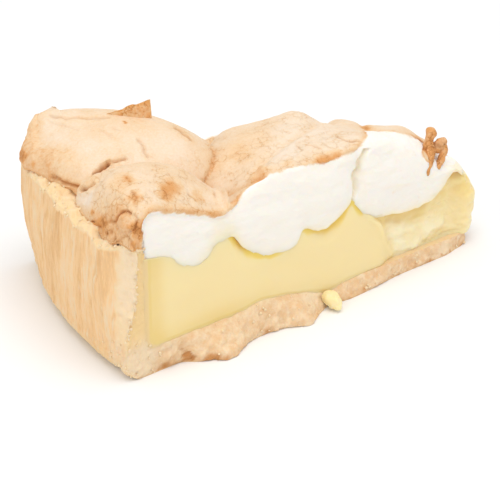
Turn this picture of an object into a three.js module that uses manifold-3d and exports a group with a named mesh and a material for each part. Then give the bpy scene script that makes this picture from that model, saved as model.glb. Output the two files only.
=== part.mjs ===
// A cut slice of lemon meringue pie: shortcrust base and wall, lemon curd, baked meringue.
// Millimetres, +Z up. The nose of the slice points to +X and its two cut faces look to -Y and +Y.
import * as THREE from "three";
import { mergeVertices } from "three/addons/utils/BufferGeometryUtils.js";
import Module from "manifold-3d";

// Plan of the slice. "s" is the distance from the nose back towards the wall.
const WALL_RADIUS = 115.4; // nose to the outside of the wall, a pie of about 230 mm
const NOSE_RADIUS = 6; // the blunt cut end
const HALF_ANGLE = THREE.MathUtils.degToRad(16.5); // half of the arc that the wall spans
const NOSE_ANGLE = THREE.MathUtils.degToRad(75.6); // half of the arc that the nose spans
const NOSE_TO_ORIGIN = 57.7; // puts the origin under the middle of the slice
const GAP = 0.3; // clearance between two layers

// Pastry
const RIM_HEIGHT = 35.3;
const WALL_THICKNESS = 6;
const FLOOR_AT_WALL = 7.2;
const FLOOR_AT_NOSE = 3.9;
const FLOOR_STEP = [50, 68]; // the distances from the nose between which the floor rises
const FLOOR_WAVES = [
  { at: 71.5, width: 4, up: 0.8 },
  { at: 50, width: 3.5, up: -0.8 },
];
const FOOT_RADIUS = 5; // outer bottom corner of the pastry
const FILLET_RADIUS = 3; // inner bottom corner
const WALL_FLARE = 0.5; // how far the rim leans out over most of the wall
const BACK_FLARE = 1.9; // and at the back corner
const WALL_BELLY = 0.5; // how far the wall bulges out half way up
const BACK_BELLY = 1.1; // and at the back corner
const BROKEN_CORNER = 3.8; // pastry broken off the front edge of the wall
const BROKEN_REACH = 7; // how far that break runs along the wall

const BACK_RIM_DROP = 4.5; // the rim falls towards the back corner
const RIM_CROWN = 0.9; // the rim's two edges lie lower than its middle
const PASTRY_SET_BACK = 2; // pastry behind the nose of the curd
// Shares of the pastry's length that end at the floor's end and at the corner's end.
const FLOOR_SHARE = 0.62;
const CORNER_SHARE = 0.76;

// The pastry foot juts out of the front cut, less towards the nose.
const FOOT_AT_NOSE = 1.2;
const FOOT_AT_WALL = 3;
// Its bumps: distance from the nose, width, how far out.
const FOOT_BUMPS = [
  { at: 84, width: 5, out: 3.3 },
  { at: 61, width: 5, out: 3.2 },
  { at: 50.5, width: 3, out: -1.4 },
];

// Meringue skin along the two cut faces: [distance from the nose, height].
const FRONT_EDGE = [
  [4, 23.2], [9, 24.9], [14.5, 27.2], [21, 32.4], [26, 35.8], [31, 38.4], [36, 40], [45, 40.4],
  [52, 40], [62, 40.7], [70, 40.6], [75, 39.6], [78, 37.8], [82, 36.2], [86.5, 37.4], [92, 40.1],
  [98.5, 42.7], [103, 44.2], [109, 42.4],
];
const BACK_EDGE = [
  [4, 20.4], [12, 26.4], [20, 29.2], [28, 32.1], [34, 34.2], [38.5, 32.2], [43, 35.4], [50, 35.7],
  [60, 33.6], [66, 32.2], [70.5, 30.4], [76, 33.9], [84, 39.4], [92, 41.5], [103, 41.5], [112, 38.8],
];

// Lobes of meringue that hang into the curd: from one cusp to the next, with the cusps' heights,
// how deep the lobe sags, to which side it leans and how narrow it is.
const LOBES = [
  { from: 105, to: 80.8, high: 31, low: 29, sag: 5.6, lean: 1.45, narrow: 1.3 },
  { from: 80.8, to: 58.6, high: 29, low: 23.5, sag: 6.5, lean: 1.3, narrow: 0.8 },
  { from: 58.6, to: 43, high: 23.5, low: 25.9, sag: 3.4, lean: 0.9, narrow: 1 },
  { from: 43, to: 9.3, high: 25.9, low: 23.6, sag: 8, lean: 1.1, narrow: 0.8 },
];
// Upright creases between the lobes on the front cut: distance from the nose, width, depth.
const CREASES = [
  { at: 42, width: 2.5, depth: 1.8 },
  { at: 81, width: 4, depth: 0.9 },
];
const NOSE_DROP = 0.7; // fall of the joint from the last cusp to the nose, per mm
const HIDDEN_UNDERSIDE = [
  [0, 17], [3, 19], [9, 21.5], [18, 18.5], [32, 18.5], [43, 23.5], [51, 22], [58, 22.5], [67, 20.5],
  [80, 26.5], [90, 25.5], [108, 29.5],
];

// Spoonfuls of meringue: centre, half length, half width, turn, top, base, squareness of outline
// and how steeply the sides fall (small is steep).
const SPOONFULS = [
  { s: 93, y: 12.5, rs: 23.8, ry: 20, turn: 0, top: 45.6, base: 32.5, square: 2.6, fall: 0.55 },
  { s: 101, y: -17.5, rs: 21.5, ry: 17.5, turn: -0.12, top: 46.6, base: 32, square: 2.6, fall: 0.5 },
  { s: 53, y: -2, rs: 28.5, ry: 24, turn: 0.05, top: 40.6, base: 30, square: 2.1, fall: 0.8 },
  { s: 26.7, y: -0.7, rs: 19.6, ry: 15, turn: 0, top: 34.7, base: 22, square: 2.2, fall: 0.6 },
];
const BLEND = 0.9; // softness of the creases between spoonfuls
const SKIRT = 6; // fall of a spoonful's surface beyond its outline

const RELIEF_REACH = 5; // how deep behind a cut face its relief fades out
const SKIN_REACH = 9; // how far in from a cut the skin follows the edge's height
const JOINT_REACH = 7; // how far in from a cut the joint follows the lobes
const BACK_LOBES = 1.6; // half height of the lobes on the back cut
const LOBE_SWELL = 1.1; // how far the lobes swell out of the front cut
const NOSE_BULGE = 0.9; // curd that swells out beyond the nose arc

// Curd
const SLAB_END = 31.5; // towards the nose from here the curd is torn and set back
const SLAB_SET_BACK = 1.8;
// Hollows at the top of the cut, under the lobes: distance from the nose, width, depth.
const HOLLOWS = [
  { at: 50, width: 6, depth: 1.8 },
  { at: 77.5, width: 3.5, depth: 1.3 },
];
const DRIP = { from: [50.4, -21.3, 3.6], to: [50.9, -23.5, 1.9], radius: 1.9 };

// How far inside the wall's outer face the meringue ends above the rim: it leaves a strip of rim
// bare in the middle, covers it at the front corner and hangs over it at the back corner.
const EDGE_INSIDE = 2.2;
const BARE_STRIP = { at: -0.02, width: 0.13, inside: 3.2 };
const FRONT_CORNER = { at: -0.75, width: 0.15, inside: -1.2 };
const BACK_OVERHANG = 5;
const BACK_RETURN = 2.5; // the overhang draws back again towards the cut
const EDGE_LEAN = 1.6; // lean of the meringue's side above the rim
const EDGE_ROUNDING = 3.2; // radius from that side into the top
const RIM_CLEARANCE = 0.5; // between the rim and the lip that lies over it
const EDGE_STEP = 0.7; // thickness of that lip
const NOSE_SET_BACK = 3.4; // meringue behind the nose of the curd
const NOSE_SLOPE = 3; // and how much further back its skin starts
// Heights through the meringue, as shares: level with the rim at the third, over it at the fourth.
const RISE_LEVELS = [0, 0.17, 0.34, 0.42, 0.56, 0.72, 0.87, 1];
const RIM_LEVEL = RISE_LEVELS[2];
const STEP_LEVEL = RISE_LEVELS[3];

// The curled flake on the back spoonful: the ends of its foot and of its crest.
const FLAKE = {
  foot: [[94, 17.8, 43.4], [84.9, 12.8, 42.2]],
  crest: [[92.8, 17.2, 46], [84.6, 13.7, 49.6]],
  halfThickness: 0.8,
  curl: 1.1,
};
// The two browned peaks near the nose and the fold that runs down from them.
const PEAKS = [
  { from: [16.6, -5, 28.5], to: [15.3, -5, 34.6], radius: 1.5 },
  { from: [16.8, -8.2, 24.5], to: [15.1, -7.8, 31.8], radius: 1.2 },
  { from: [13.2, -7, 25.5], to: [12.4, -6.8, 31.2], radius: 1.4 },
];

const clamp = THREE.MathUtils.clamp;
const lerp = THREE.MathUtils.lerp;

function smooth(from, to, x) {
  const t = clamp((x - from) / (to - from), 0, 1);
  return t * t * (3 - 2 * t);
}

function bump(x, centre, width) {
  return Math.exp(-(((x - centre) / width) ** 2));
}

// Height on a smooth curve through points sorted by distance: cubic pieces whose slope at a
// point is the mean of the slopes beside it.
function profile(points, x) {
  const last = points.length - 1;
  const at = clamp(x, points[0][0], points[last][0]);
  let i = 0;
  while (i < last - 1 && at > points[i + 1][0]) i += 1;
  const slope = (k) => (points[k + 1][1] - points[k][1]) / (points[k + 1][0] - points[k][0]);
  const tangent = (k) => (slope(Math.max(k - 1, 0)) + slope(Math.min(k, last - 1))) / 2;
  const width = points[i + 1][0] - points[i][0];
  const t = (at - points[i][0]) / width;
  return (
    (2 * t ** 3 - 3 * t ** 2 + 1) * points[i][1] +
    (t ** 3 - 2 * t ** 2 + t) * width * tangent(i) +
    (3 * t ** 2 - 2 * t ** 3) * points[i + 1][1] +
    (t ** 3 - t ** 2) * width * tangent(i + 1)
  );
}

// Straight lines run from the nose arc to the wall arc. "across" is -1 on the front cut and +1 on
// the back cut, and "inward" is the distance from the outside of the wall along such a line.
function ruling(across) {
  const [noseTurn, wallTurn] = [across * NOSE_ANGLE, across * HALF_ANGLE];
  const nose = [NOSE_RADIUS * (1 - Math.cos(noseTurn)), NOSE_RADIUS * Math.sin(noseTurn)];
  const wall = [WALL_RADIUS * Math.cos(wallTurn), WALL_RADIUS * Math.sin(wallTurn)];
  return { nose, wall, length: Math.hypot(wall[0] - nose[0], wall[1] - nose[1]) };
}

function plan(inward, across) {
  const { nose, wall, length } = ruling(across);
  const k = (length - inward) / length;
  return [lerp(nose[0], wall[0], k), lerp(nose[1], wall[1], k)];
}

const FACE_SLOPE = (() => {
  const { nose, wall } = ruling(1);
  return (wall[1] - nose[1]) / (wall[0] - nose[0]);
})();
const TANGENT = plan(ruling(1).length, 1); // where the cut face meets the nose arc

function halfWidth(s) {
  if (s < TANGENT[0]) return Math.sqrt(Math.max(NOSE_RADIUS ** 2 - (NOSE_RADIUS - s) ** 2, 0.01));
  return TANGENT[1] + (s - TANGENT[0]) * FACE_SLOPE;
}

// Share of a cut face's relief that is left at a distance behind the face.
function nearFace(distance, depth) {
  return Math.exp(-((Math.max(distance, 0) / depth) ** 2));
}

function rimHeight(across) {
  const wave = 0.35 * Math.sin(across * 19) + 0.25 * Math.sin(across * 41 + 1);
  return RIM_HEIGHT + wave - BACK_RIM_DROP * smooth(0.6, 1, across) - 1.2 * bump(across, -0.75, 0.1);
}

// How far the wall stands out at a share k of its height.
function wallLean(across, k) {
  const atBack = smooth(0.15, 0.6, across);
  const [flare, belly] = [lerp(WALL_FLARE, BACK_FLARE, atBack), lerp(WALL_BELLY, BACK_BELLY, atBack)];
  return flare * k + belly * Math.sin(Math.PI * k);
}

function floorTop(s) {
  const wave = FLOOR_WAVES.reduce((sum, { at, width, up }) => sum + up * bump(s, at, width), 0);
  return lerp(FLOOR_AT_NOSE, FLOOR_AT_WALL, smooth(...FLOOR_STEP, s)) + wave;
}

// Lower edge of the meringue on the front cut: a sagging curve from cusp to cusp.
function undersideFront(s) {
  const lobe = LOBES.find(({ from, to }) => s <= from && s >= to);
  const last = LOBES[LOBES.length - 1];
  if (!lobe) return s > last.to ? LOBES[0].high : last.low - NOSE_DROP * (last.to - s);
  const t = (lobe.from - s) / (lobe.from - lobe.to);
  return lerp(lobe.high, lobe.low, t) - lobe.sag * Math.sin(Math.PI * t ** lobe.lean) ** lobe.narrow;
}

// Height of the joint between curd and meringue.
function joint(s, y) {
  const front = nearFace(y + halfWidth(s), JOINT_REACH);
  const back = nearFace(halfWidth(s) - y, JOINT_REACH) * (1 - front);
  const backWave = BACK_LOBES * Math.sin(s * 0.23 + 1) * back;
  return lerp(profile(HIDDEN_UNDERSIDE, s), undersideFront(s), front) + backWave;
}

// Tops of the spoonfuls, as one surface: each is a dome on a rounded outline, and where two meet
// the higher one wins with a soft crease.
function spoonfuls(s, y) {
  const heights = SPOONFULS.map((d) => {
    const u = (s - d.s) * Math.cos(d.turn) + (y - d.y) * Math.sin(d.turn);
    const v = (y - d.y) * Math.cos(d.turn) - (s - d.s) * Math.sin(d.turn);
    const r = (Math.abs(u / d.rs) ** d.square + Math.abs(v / d.ry) ** d.square) ** (1 / d.square);
    return d.base + (d.top - d.base) * Math.max(1 - r * r, 0) ** d.fall - SKIRT * Math.max(r - 1, 0);
  });
  const most = Math.max(...heights);
  return most + BLEND * Math.log(heights.reduce((sum, h) => sum + Math.exp((h - most) / BLEND), 0));
}

// Top of the meringue: the spoonfuls, drawn to the height of the edge at each cut face.
function skinHeight(s, y) {
  const edge = halfWidth(s);
  const front = nearFace(y + edge, SKIN_REACH);
  const back = nearFace(edge - y, SKIN_REACH) * (1 - front);
  return (
    spoonfuls(s, y) +
    (profile(FRONT_EDGE, s) - spoonfuls(s, -edge)) * front +
    (profile(BACK_EDGE, s) - spoonfuls(s, edge)) * back
  );
}

// A point given by plan position and height, pushed out of the cut faces by front and back.
function place([s, y], z, across, front, back) {
  const edge = halfWidth(Math.max(s, TANGENT[0]));
  const push =
    back * nearFace(edge * (1 - across), RELIEF_REACH) - front * nearFace(edge * (1 + across), RELIEF_REACH);
  return [NOSE_TO_ORIGIN - s + Math.abs(push) * FACE_SLOPE, y + push, z];
}

// A closed body: a box whose coordinates, along and up from 0 to 1 and across from -1 to 1, are
// moved to their place by shape.
function boxBody(counts, shape) {
  const box = new THREE.BoxGeometry(1, 1, 1, ...counts);
  box.deleteAttribute("normal");
  box.deleteAttribute("uv");
  const geometry = mergeVertices(box);
  const position = geometry.getAttribute("position");
  for (let i = 0; i < position.count; i += 1) {
    const point = shape(position.getX(i) + 0.5, position.getY(i) + 0.5, 2 * position.getZ(i));
    position.setXYZ(i, ...point);
  }
  return geometry;
}

// A layer of the slice, whose rulings stand closer together towards the cut faces.
function layer(counts, shape) {
  return boxBody(counts, (along, up, t) => shape(along, up, (3 * t - t ** 3) / 2));
}

// How far the pastry foot juts out of the front cut.
function footJut(s) {
  const ledge = (FOOT_AT_NOSE + (FOOT_AT_WALL - FOOT_AT_NOSE) * smooth(25, 45, s)) * smooth(6, 12, s);
  const bumps = FOOT_BUMPS.reduce((sum, b) => sum + b.out * bump(s, b.at, b.width), 0);
  return ledge * smooth(96, 91, s) + bumps;
}

// The pastry is an L: the outer line runs from the nose along the underside and up the outside of
// the wall, and the inner line along the floor and up the inside. Both are [inward, height].
function pastryLines(along, across) {
  const start = ruling(across).length - PASTRY_SET_BACK;
  if (along < FLOOR_SHARE) {
    const k = along / FLOOR_SHARE;
    const inner = lerp(start, WALL_THICKNESS + FILLET_RADIUS, k);
    return { outer: [lerp(start, FOOT_RADIUS, k), 0], inner: [inner, floorTop(plan(inner, across)[0])] };
  }
  if (along < CORNER_SHARE) {
    const turn = ((along - FLOOR_SHARE) / (CORNER_SHARE - FLOOR_SHARE)) * (Math.PI / 2);
    const [side, rise] = [1 - Math.sin(turn), 1 - Math.cos(turn)];
    return {
      outer: [FOOT_RADIUS * side, FOOT_RADIUS * rise],
      inner: [WALL_THICKNESS + FILLET_RADIUS * side, FLOOR_AT_WALL + FILLET_RADIUS * rise],
    };
  }
  const k = (along - CORNER_SHARE) / (1 - CORNER_SHARE);
  const rim = rimHeight(across);
  const height = lerp(FOOT_RADIUS, rim, k);
  const behindCut = (across + 1) * halfWidth(WALL_RADIUS);
  const broken = BROKEN_CORNER * smooth(9, 22, height) * clamp(1 - behindCut / BROKEN_REACH, 0, 1);
  return {
    outer: [broken - wallLean(across, k), height],
    inner: [WALL_THICKNESS, lerp(FLOOR_AT_WALL + FILLET_RADIUS, rim, k)],
  };
}

function pastryPoint(along, through, across) {
  const { outer, inner } = pastryLines(along, across);
  const crown = RIM_CROWN * (2 * through - 1) ** 2 * smooth(0.97, 1, along);
  const z = lerp(outer[1], inner[1], through) - crown;
  const point = plan(lerp(outer[0], inner[0], through), across);
  // The jut is greatest low down and a little less at the very bottom.
  const roll = clamp(1 - z / floorTop(point[0]), 0, 1) ** 0.8 * (through === 0 ? 0.85 : 1);
  const backJut = 0.9 + 0.6 * Math.sin(point[0] * 0.2);
  return place(point, z, across, footJut(point[0]) * roll, backJut * roll);
}

// Curd: from the pastry floor to the joint with the meringue, with a rounded nose.
function curdPoint(along, up, across) {
  const end = WALL_THICKNESS + GAP;
  const noseRounding = 1.4 * Math.max(1 - 2 * up, 0) ** 2 + 3.6 * Math.max(2 * up - 1, 0) ** 3;
  const inward = lerp(ruling(across).length + NOSE_BULGE - noseRounding, end, along);
  const point = plan(inward, across);
  const [s, y] = point;
  const intoFillet = Math.max(FILLET_RADIUS - (inward - end), 0);
  const bottom = floorTop(s) + GAP + FILLET_RADIUS - Math.sqrt(FILLET_RADIUS ** 2 - intoFillet ** 2);
  const z = lerp(bottom, joint(s, y) - 2 * GAP, up);
  const torn = SLAB_SET_BACK * smooth(SLAB_END + 2, SLAB_END - 2, s) * smooth(3, 10, s);
  const hollow = HOLLOWS.reduce((sum, h) => sum + h.depth * bump(s, h.at, h.width), 0);
  const backWave = 0.5 * Math.sin(s * 0.15) * Math.sin(Math.PI * up);
  return place(point, z, across, -torn - hollow * smooth(0.7, 1, up), backWave);
}

function meringueEdge(across) {
  const strip = BARE_STRIP.inside * bump(across, BARE_STRIP.at, BARE_STRIP.width);
  const corner = FRONT_CORNER.inside * bump(across, FRONT_CORNER.at, FRONT_CORNER.width);
  const back = BACK_RETURN * smooth(0.7, 1, across) - BACK_OVERHANG * smooth(0.2, 0.6, across);
  return EDGE_INSIDE + strip + corner + back;
}

// Meringue: from the joint with the curd to the skin. At the wall it climbs the inside of the
// pastry, steps out over the rim and rounds off into the skin.
function meringuePoint(along, level, across) {
  const up = RISE_LEVELS[Math.round(level * (RISE_LEVELS.length - 1))];
  const round = (clamp((up - STEP_LEVEL) / (1 - STEP_LEVEL), 0, 1) * Math.PI) / 2;
  const inside = WALL_THICKNESS + GAP;
  const edge = meringueEdge(across);
  const outside = edge + (EDGE_LEAN * round * 2) / Math.PI + EDGE_ROUNDING * (1 - Math.cos(round));
  const start = ruling(across).length - NOSE_SET_BACK - NOSE_SLOPE * (1 - Math.cos((up * Math.PI) / 2));
  const inward = lerp(start, up <= RIM_LEVEL ? inside : outside, 1 - (1 - along) ** 1.25);
  const point = plan(inward, across);
  const bottom = joint(...plan(Math.max(inward, inside), across)) + GAP / 2;
  const top = skinHeight(...plan(Math.max(inward, edge + EDGE_LEAN + EDGE_ROUNDING), across));
  const onRim = rimHeight(across) + RIM_CLEARANCE;
  const lip = onRim + EDGE_STEP;
  const byWall = up <= RIM_LEVEL ? lerp(bottom, onRim, up / RIM_LEVEL) : lerp(lip, top, Math.sin(round));
  const z = lerp(lerp(bottom, top, up), byWall, smooth(24, 7, inward));
  const [s] = point;
  const swell = Math.sin(Math.PI * up);
  const lobes = CREASES.reduce((sum, { at, width, depth }) => sum - depth * bump(s, at, width), LOBE_SWELL);
  return place(point, z, across, lobes * swell * smooth(4, 10, s), (0.8 + 0.7 * Math.sin(s * 0.21)) * swell);
}

// A thin sail that rises towards the nose.
function flakeGeometry() {
  const { foot, crest, halfThickness, curl } = FLAKE;
  return boxBody([10, 4, 1], (along, up, side) => {
    const low = foot[0].map((value, i) => lerp(value, foot[1][i], along));
    const high = crest[0].map((value, i) => lerp(value, crest[1][i], i === 2 ? along ** 0.8 : along));
    const [s, y, z] = low.map((value, i) => lerp(value, high[i], up));
    const bow = curl * Math.sin(Math.PI * along) * up;
    return [NOSE_TO_ORIGIN - s - side * halfThickness * 0.6, y - bow + side * halfThickness * 0.8, z];
  });
}

// A blob between two points: a sphere stretched along the line that joins them.
function blob({ from, to, radius }) {
  const ball = new THREE.SphereGeometry(1, 10, 7);
  ball.deleteAttribute("normal");
  ball.deleteAttribute("uv");
  const a = new THREE.Vector3(NOSE_TO_ORIGIN - from[0], from[1], from[2]);
  const b = new THREE.Vector3(NOSE_TO_ORIGIN - to[0], to[1], to[2]);
  const line = b.clone().sub(a);
  const direction = line.clone().normalize();
  const turn = new THREE.Quaternion().setFromUnitVectors(new THREE.Vector3(0, 1, 0), direction);
  const size = new THREE.Vector3(radius, line.length() / 2 + radius, radius);
  ball.applyMatrix4(new THREE.Matrix4().compose(a.add(b).multiplyScalar(0.5), turn, size));
  return mergeVertices(ball);
}

const wasm = await Module();
wasm.setup();

function toSolid(geometry) {
  const vertProperties = new Float32Array(geometry.getAttribute("position").array);
  const triVerts = new Uint32Array(geometry.index.array);
  return new wasm.Manifold(new wasm.Mesh({ numProp: 3, vertProperties, triVerts }));
}

function toGeometry(solid) {
  const { vertProperties, triVerts } = solid.getMesh();
  const geometry = new THREE.BufferGeometry();
  geometry.setAttribute("position", new THREE.BufferAttribute(new Float32Array(vertProperties), 3));
  geometry.setIndex(new THREE.BufferAttribute(new Uint32Array(triVerts), 1));
  return geometry;
}

function meringueGeometry() {
  const relief = [flakeGeometry(), ...PEAKS.map(blob)];
  const foam = toSolid(layer([46, RISE_LEVELS.length - 1, 18], meringuePoint));
  return toGeometry(relief.reduce((solid, piece) => solid.add(toSolid(piece)), foam));
}

const pastryLook = new THREE.MeshStandardMaterial({ color: 0xecc998, roughness: 0.85, metalness: 0 });
const curdLook = new THREE.MeshStandardMaterial({ color: 0xf6e7a0, roughness: 0.35, metalness: 0 });
const meringueLook = new THREE.MeshStandardMaterial({ color: 0xfbe3cc, roughness: 0.8, metalness: 0 });

function named(name, geometry, look) {
  const mesh = new THREE.Mesh(geometry, look);
  mesh.name = name;
  return mesh;
}

const slice = new THREE.Group();
slice.name = "lemon_meringue_pie_slice";
slice.add(
  named("crust", layer([39, 2, 14], pastryPoint), pastryLook),
  named("curd", layer([44, 4, 9], curdPoint), curdLook),
  named("curd_drip", blob(DRIP), curdLook.clone()),
  named("meringue", meringueGeometry(), meringueLook),
);

export default slice;
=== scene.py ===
"""A cut slice of lemon meringue pie: baked pastry, lemon curd and toasted meringue on a white ground.

The slice is built in millimetres and scaled to metres when its meshes are made. "s" is the distance
from the nose of the slice back towards the wall, "y" points to the back cut and "z" up. "across" is
-1 on the front cut and +1 on the back cut.
"""

from itertools import product

import bmesh
import bpy
import numpy as np
from bpy.props import FloatProperty, FloatVectorProperty, IntProperty, PointerProperty
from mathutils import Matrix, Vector


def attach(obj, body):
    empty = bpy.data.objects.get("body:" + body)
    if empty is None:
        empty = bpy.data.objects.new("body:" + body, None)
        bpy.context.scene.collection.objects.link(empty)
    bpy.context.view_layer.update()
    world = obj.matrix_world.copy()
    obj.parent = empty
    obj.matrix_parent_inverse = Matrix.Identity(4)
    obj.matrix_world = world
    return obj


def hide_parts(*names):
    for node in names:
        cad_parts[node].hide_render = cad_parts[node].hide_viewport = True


bl_info = {
    "name": "Lemon Meringue Pie Slice",
    "version": (1, 0, 0),
    "blender": (4, 5, 0),
    "location": "View3D > Sidebar > Pie Slice",
    "description": "Builds a slice of lemon meringue pie around its packed solids",
    "category": "Add Mesh",
}

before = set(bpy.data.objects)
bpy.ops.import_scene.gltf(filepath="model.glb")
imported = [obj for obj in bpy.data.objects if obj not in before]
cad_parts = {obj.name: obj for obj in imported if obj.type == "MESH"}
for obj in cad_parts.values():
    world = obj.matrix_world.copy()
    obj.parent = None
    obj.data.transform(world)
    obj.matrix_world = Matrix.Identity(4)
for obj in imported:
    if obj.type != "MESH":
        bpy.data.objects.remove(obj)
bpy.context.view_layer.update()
MM = 0.001

# ---------------------------------------------------------------- sizes of the slice

# Plan
WALL_RADIUS = 115.4
HALF_ANGLE = np.radians(16.5)
NOSE_RADIUS = 6.0
NOSE_TURN = np.radians(75.6)
NOSE_TO_ORIGIN = 57.7
LAP = 0.4  # how far a layer runs into its neighbour, so that no slit shows between them
NOSE_SHARE = 0.07  # share of a layer's length that goes round its nose
CORNER_S = WALL_RADIUS * np.cos(HALF_ANGLE)
CORNER_Y = WALL_RADIUS * np.sin(HALF_ANGLE)
TANGENT_S = NOSE_RADIUS * (1 - np.cos(NOSE_TURN))
TANGENT_Y = NOSE_RADIUS * np.sin(NOSE_TURN)
FACE_SLOPE = (CORNER_Y - TANGENT_Y) / (CORNER_S - TANGENT_S)
APEX_WIDTH = TANGENT_Y - TANGENT_S * FACE_SLOPE
WALL_BOW = WALL_RADIUS - CORNER_S
BOW_START = 8.0  # distance from the nose at which lines across the slice begin to bow
NOSE_FADE = 0.03  # share of a layer's length over which its relief fades in from the nose

# Pastry
PASTRY_RUN = 146.0  # length of the outer line from the nose over the rim
RIM_HEIGHT = 35.3
WALL_THICKNESS = 6.0
FLOOR_AT_WALL = 7.2
FLOOR_AT_NOSE = 3.9
FLOOR_STEP = (50.0, 68.0)
FLOOR_WAVES = ((71.5, 4.0, 0.8), (50.0, 3.5, -0.8))
FOOT_RADIUS = 5.0
FILLET_RADIUS = 3.0
WALL_FLARE = 0.5
BACK_FLARE = 1.9
WALL_BELLY = 0.5
BACK_BELLY = 1.1
BROKEN_CORNER = 3.8
BROKEN_REACH = 7.0
BACK_RIM_DROP = 4.5
RIM_DIP = -0.75  # where the rim dips, across it
PASTRY_SET_BACK = 2.0
FOOT_AT_NOSE = 1.2
FOOT_AT_WALL = 3.0
FOOT_BUMPS = ((84.0, 5.0, 3.3), (61.0, 5.0, 3.2), (50.5, 3.0, -1.4))

# Curd
CURD_RUN = 110.0
CURD_FACE = 22.0  # longest way up its front cut
CURD_COLUMNS = 90
SLAB_END = 31.5
SLAB_SET_BACK = 1.8
HOLLOWS = ((50.0, 6.0, 1.8), (77.5, 3.5, 1.3))
CREASES = ((42.0, 2.5, 1.8), (81.0, 4.0, 0.9))  # upright, on the front cut of the meringue
NOSE_BULGE = 0.9

# Joint between curd and meringue on the front cut, and inside the slice
FRONT_JOINT = (
    (0, 17.5), (3, 19.2), (6, 21), (9, 23.2), (10.5, 22.2), (12.8, 20.2), (14.8, 18.5), (17.8, 17.1),
    (21, 16.8), (24, 16.9), (29, 17.7), (35, 18.7), (37.2, 19.8), (39.5, 21.6), (41.5, 24.2), (43, 25.9),
    (44.4, 25), (47.3, 22.7), (49.5, 21.6), (52, 21.2), (55, 22), (58.2, 23.5), (59.2, 22.8),
    (60.3, 20.4), (62, 19.4), (64.5, 19), (67.5, 19.5), (72, 21.2), (75.5, 23.4), (77.3, 25.2),
    (78.6, 27.6), (80.4, 28.9), (83, 28.4), (85.5, 26.9), (87.6, 25), (89.8, 24.2), (92, 24.6),
    (95, 26.4), (97.2, 28.4), (99.5, 29.7), (102, 30.5), (105, 31),
)
HIDDEN_UNDERSIDE = (
    (0, 17), (3, 19), (6, 20.3), (9, 21.5), (18, 18.5), (32, 18.5), (43, 23.5), (51, 22), (58, 22.5),
    (67, 20.5), (80, 26.5), (90, 25.5), (108, 29.5),
)
BACK_LOBES = 1.6

# Skin of the meringue along the two cuts, and its spoonfuls: centre, half length, half width,
# turn, top, base, squareness of the outline and how steeply the sides fall
FRONT_EDGE = (
    (4, 23.2), (9, 24.9), (14.5, 27.2), (21, 32.4), (26, 35.8), (31, 38.4), (36, 40), (45, 40.4),
    (52, 40), (62, 40.7), (70, 40.6), (75, 39.6), (78, 37.8), (82, 36.2), (86.5, 37.4), (92, 40.1),
    (98.5, 42.7), (103, 44.2), (109, 42.4),
)
BACK_EDGE = (
    (4, 20.4), (12, 26.4), (20, 29.2), (28, 32.1), (34, 34.2), (38.5, 32.2), (43, 35.4), (50, 35.7),
    (60, 33.6), (66, 32.2), (70.5, 30.4), (76, 33.9), (84, 39.4), (92, 41.5), (103, 41.5),
    (112, 38.8),
)
SPOONFULS = (
    (93.0, 12.5, 23.8, 20.0, 0.0, 45.6, 32.5, 2.6, 0.55),
    (101.0, -17.5, 21.5, 17.5, -0.12, 46.6, 32.0, 2.6, 0.5),
    (53.0, -2.0, 28.5, 24.0, 0.05, 40.6, 30.0, 2.1, 0.8),
    (26.7, -0.7, 19.6, 15.0, 0.0, 34.7, 22.0, 2.2, 0.6),
)
MERINGUE_RUN = 105.0
MERINGUE_FACE = 18.0
BLEND = 0.9  # softness of the crease where two spoonfuls meet
SKIRT = 6.0  # how fast a spoonful falls beyond its outline
SEAM_WIDTH = 1.1
RELIEF_REACH = 5.0  # how deep behind a cut its relief, its skin edge and its joint still show
SKIN_REACH = 9.0
JOINT_REACH = 7.0
JOINT_RIPPLE = 0.45
LOBE_SWELL = 1.1
EDGE_INSIDE = 2.2
BACK_OVERHANG = 5.0
BACK_RETURN = 2.5
EDGE_LEAN = 1.6
EDGE_ROUNDING = 3.2
RIM_CLEARANCE = -0.1
EDGE_STEP = 0.7
MERINGUE_SET_BACK = 3.4
MERINGUE_SLOPE = 3.0


# ---------------------------------------------------------------- settings


def colour(name, description, value):
    return FloatVectorProperty(
        name=name, description=description, subtype="COLOR", size=3, min=0, max=1, default=value
    )


def length(name, description, value):
    return FloatProperty(name=name, description=description, unit="LENGTH", precision=5, default=value)


def power(name, description, value):
    return FloatProperty(name=name, description=description, unit="POWER", default=value)


class PieSizes(bpy.types.PropertyGroup):
    """Sizes that a user would change."""

    step: length("Grid step", "Distance between the points of a surface", 0.00036)
    streak_depth: length("Streak depth", "Depth of the streaks down the outside of the wall", 0.00035)
    crumble: length("Crumble", "Height of the crumbs on cut and broken pastry", 0.0006)
    foam_swell: length("Foam swell", "Height of the soft lumps on the cut meringue", 0.00045)
    skin_wrinkle: length("Skin wrinkle", "Height of the wrinkles in the baked skin", 0.00035)
    seed: IntProperty(name="Seed", description="Changes every random draw", default=7, min=0)


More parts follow.
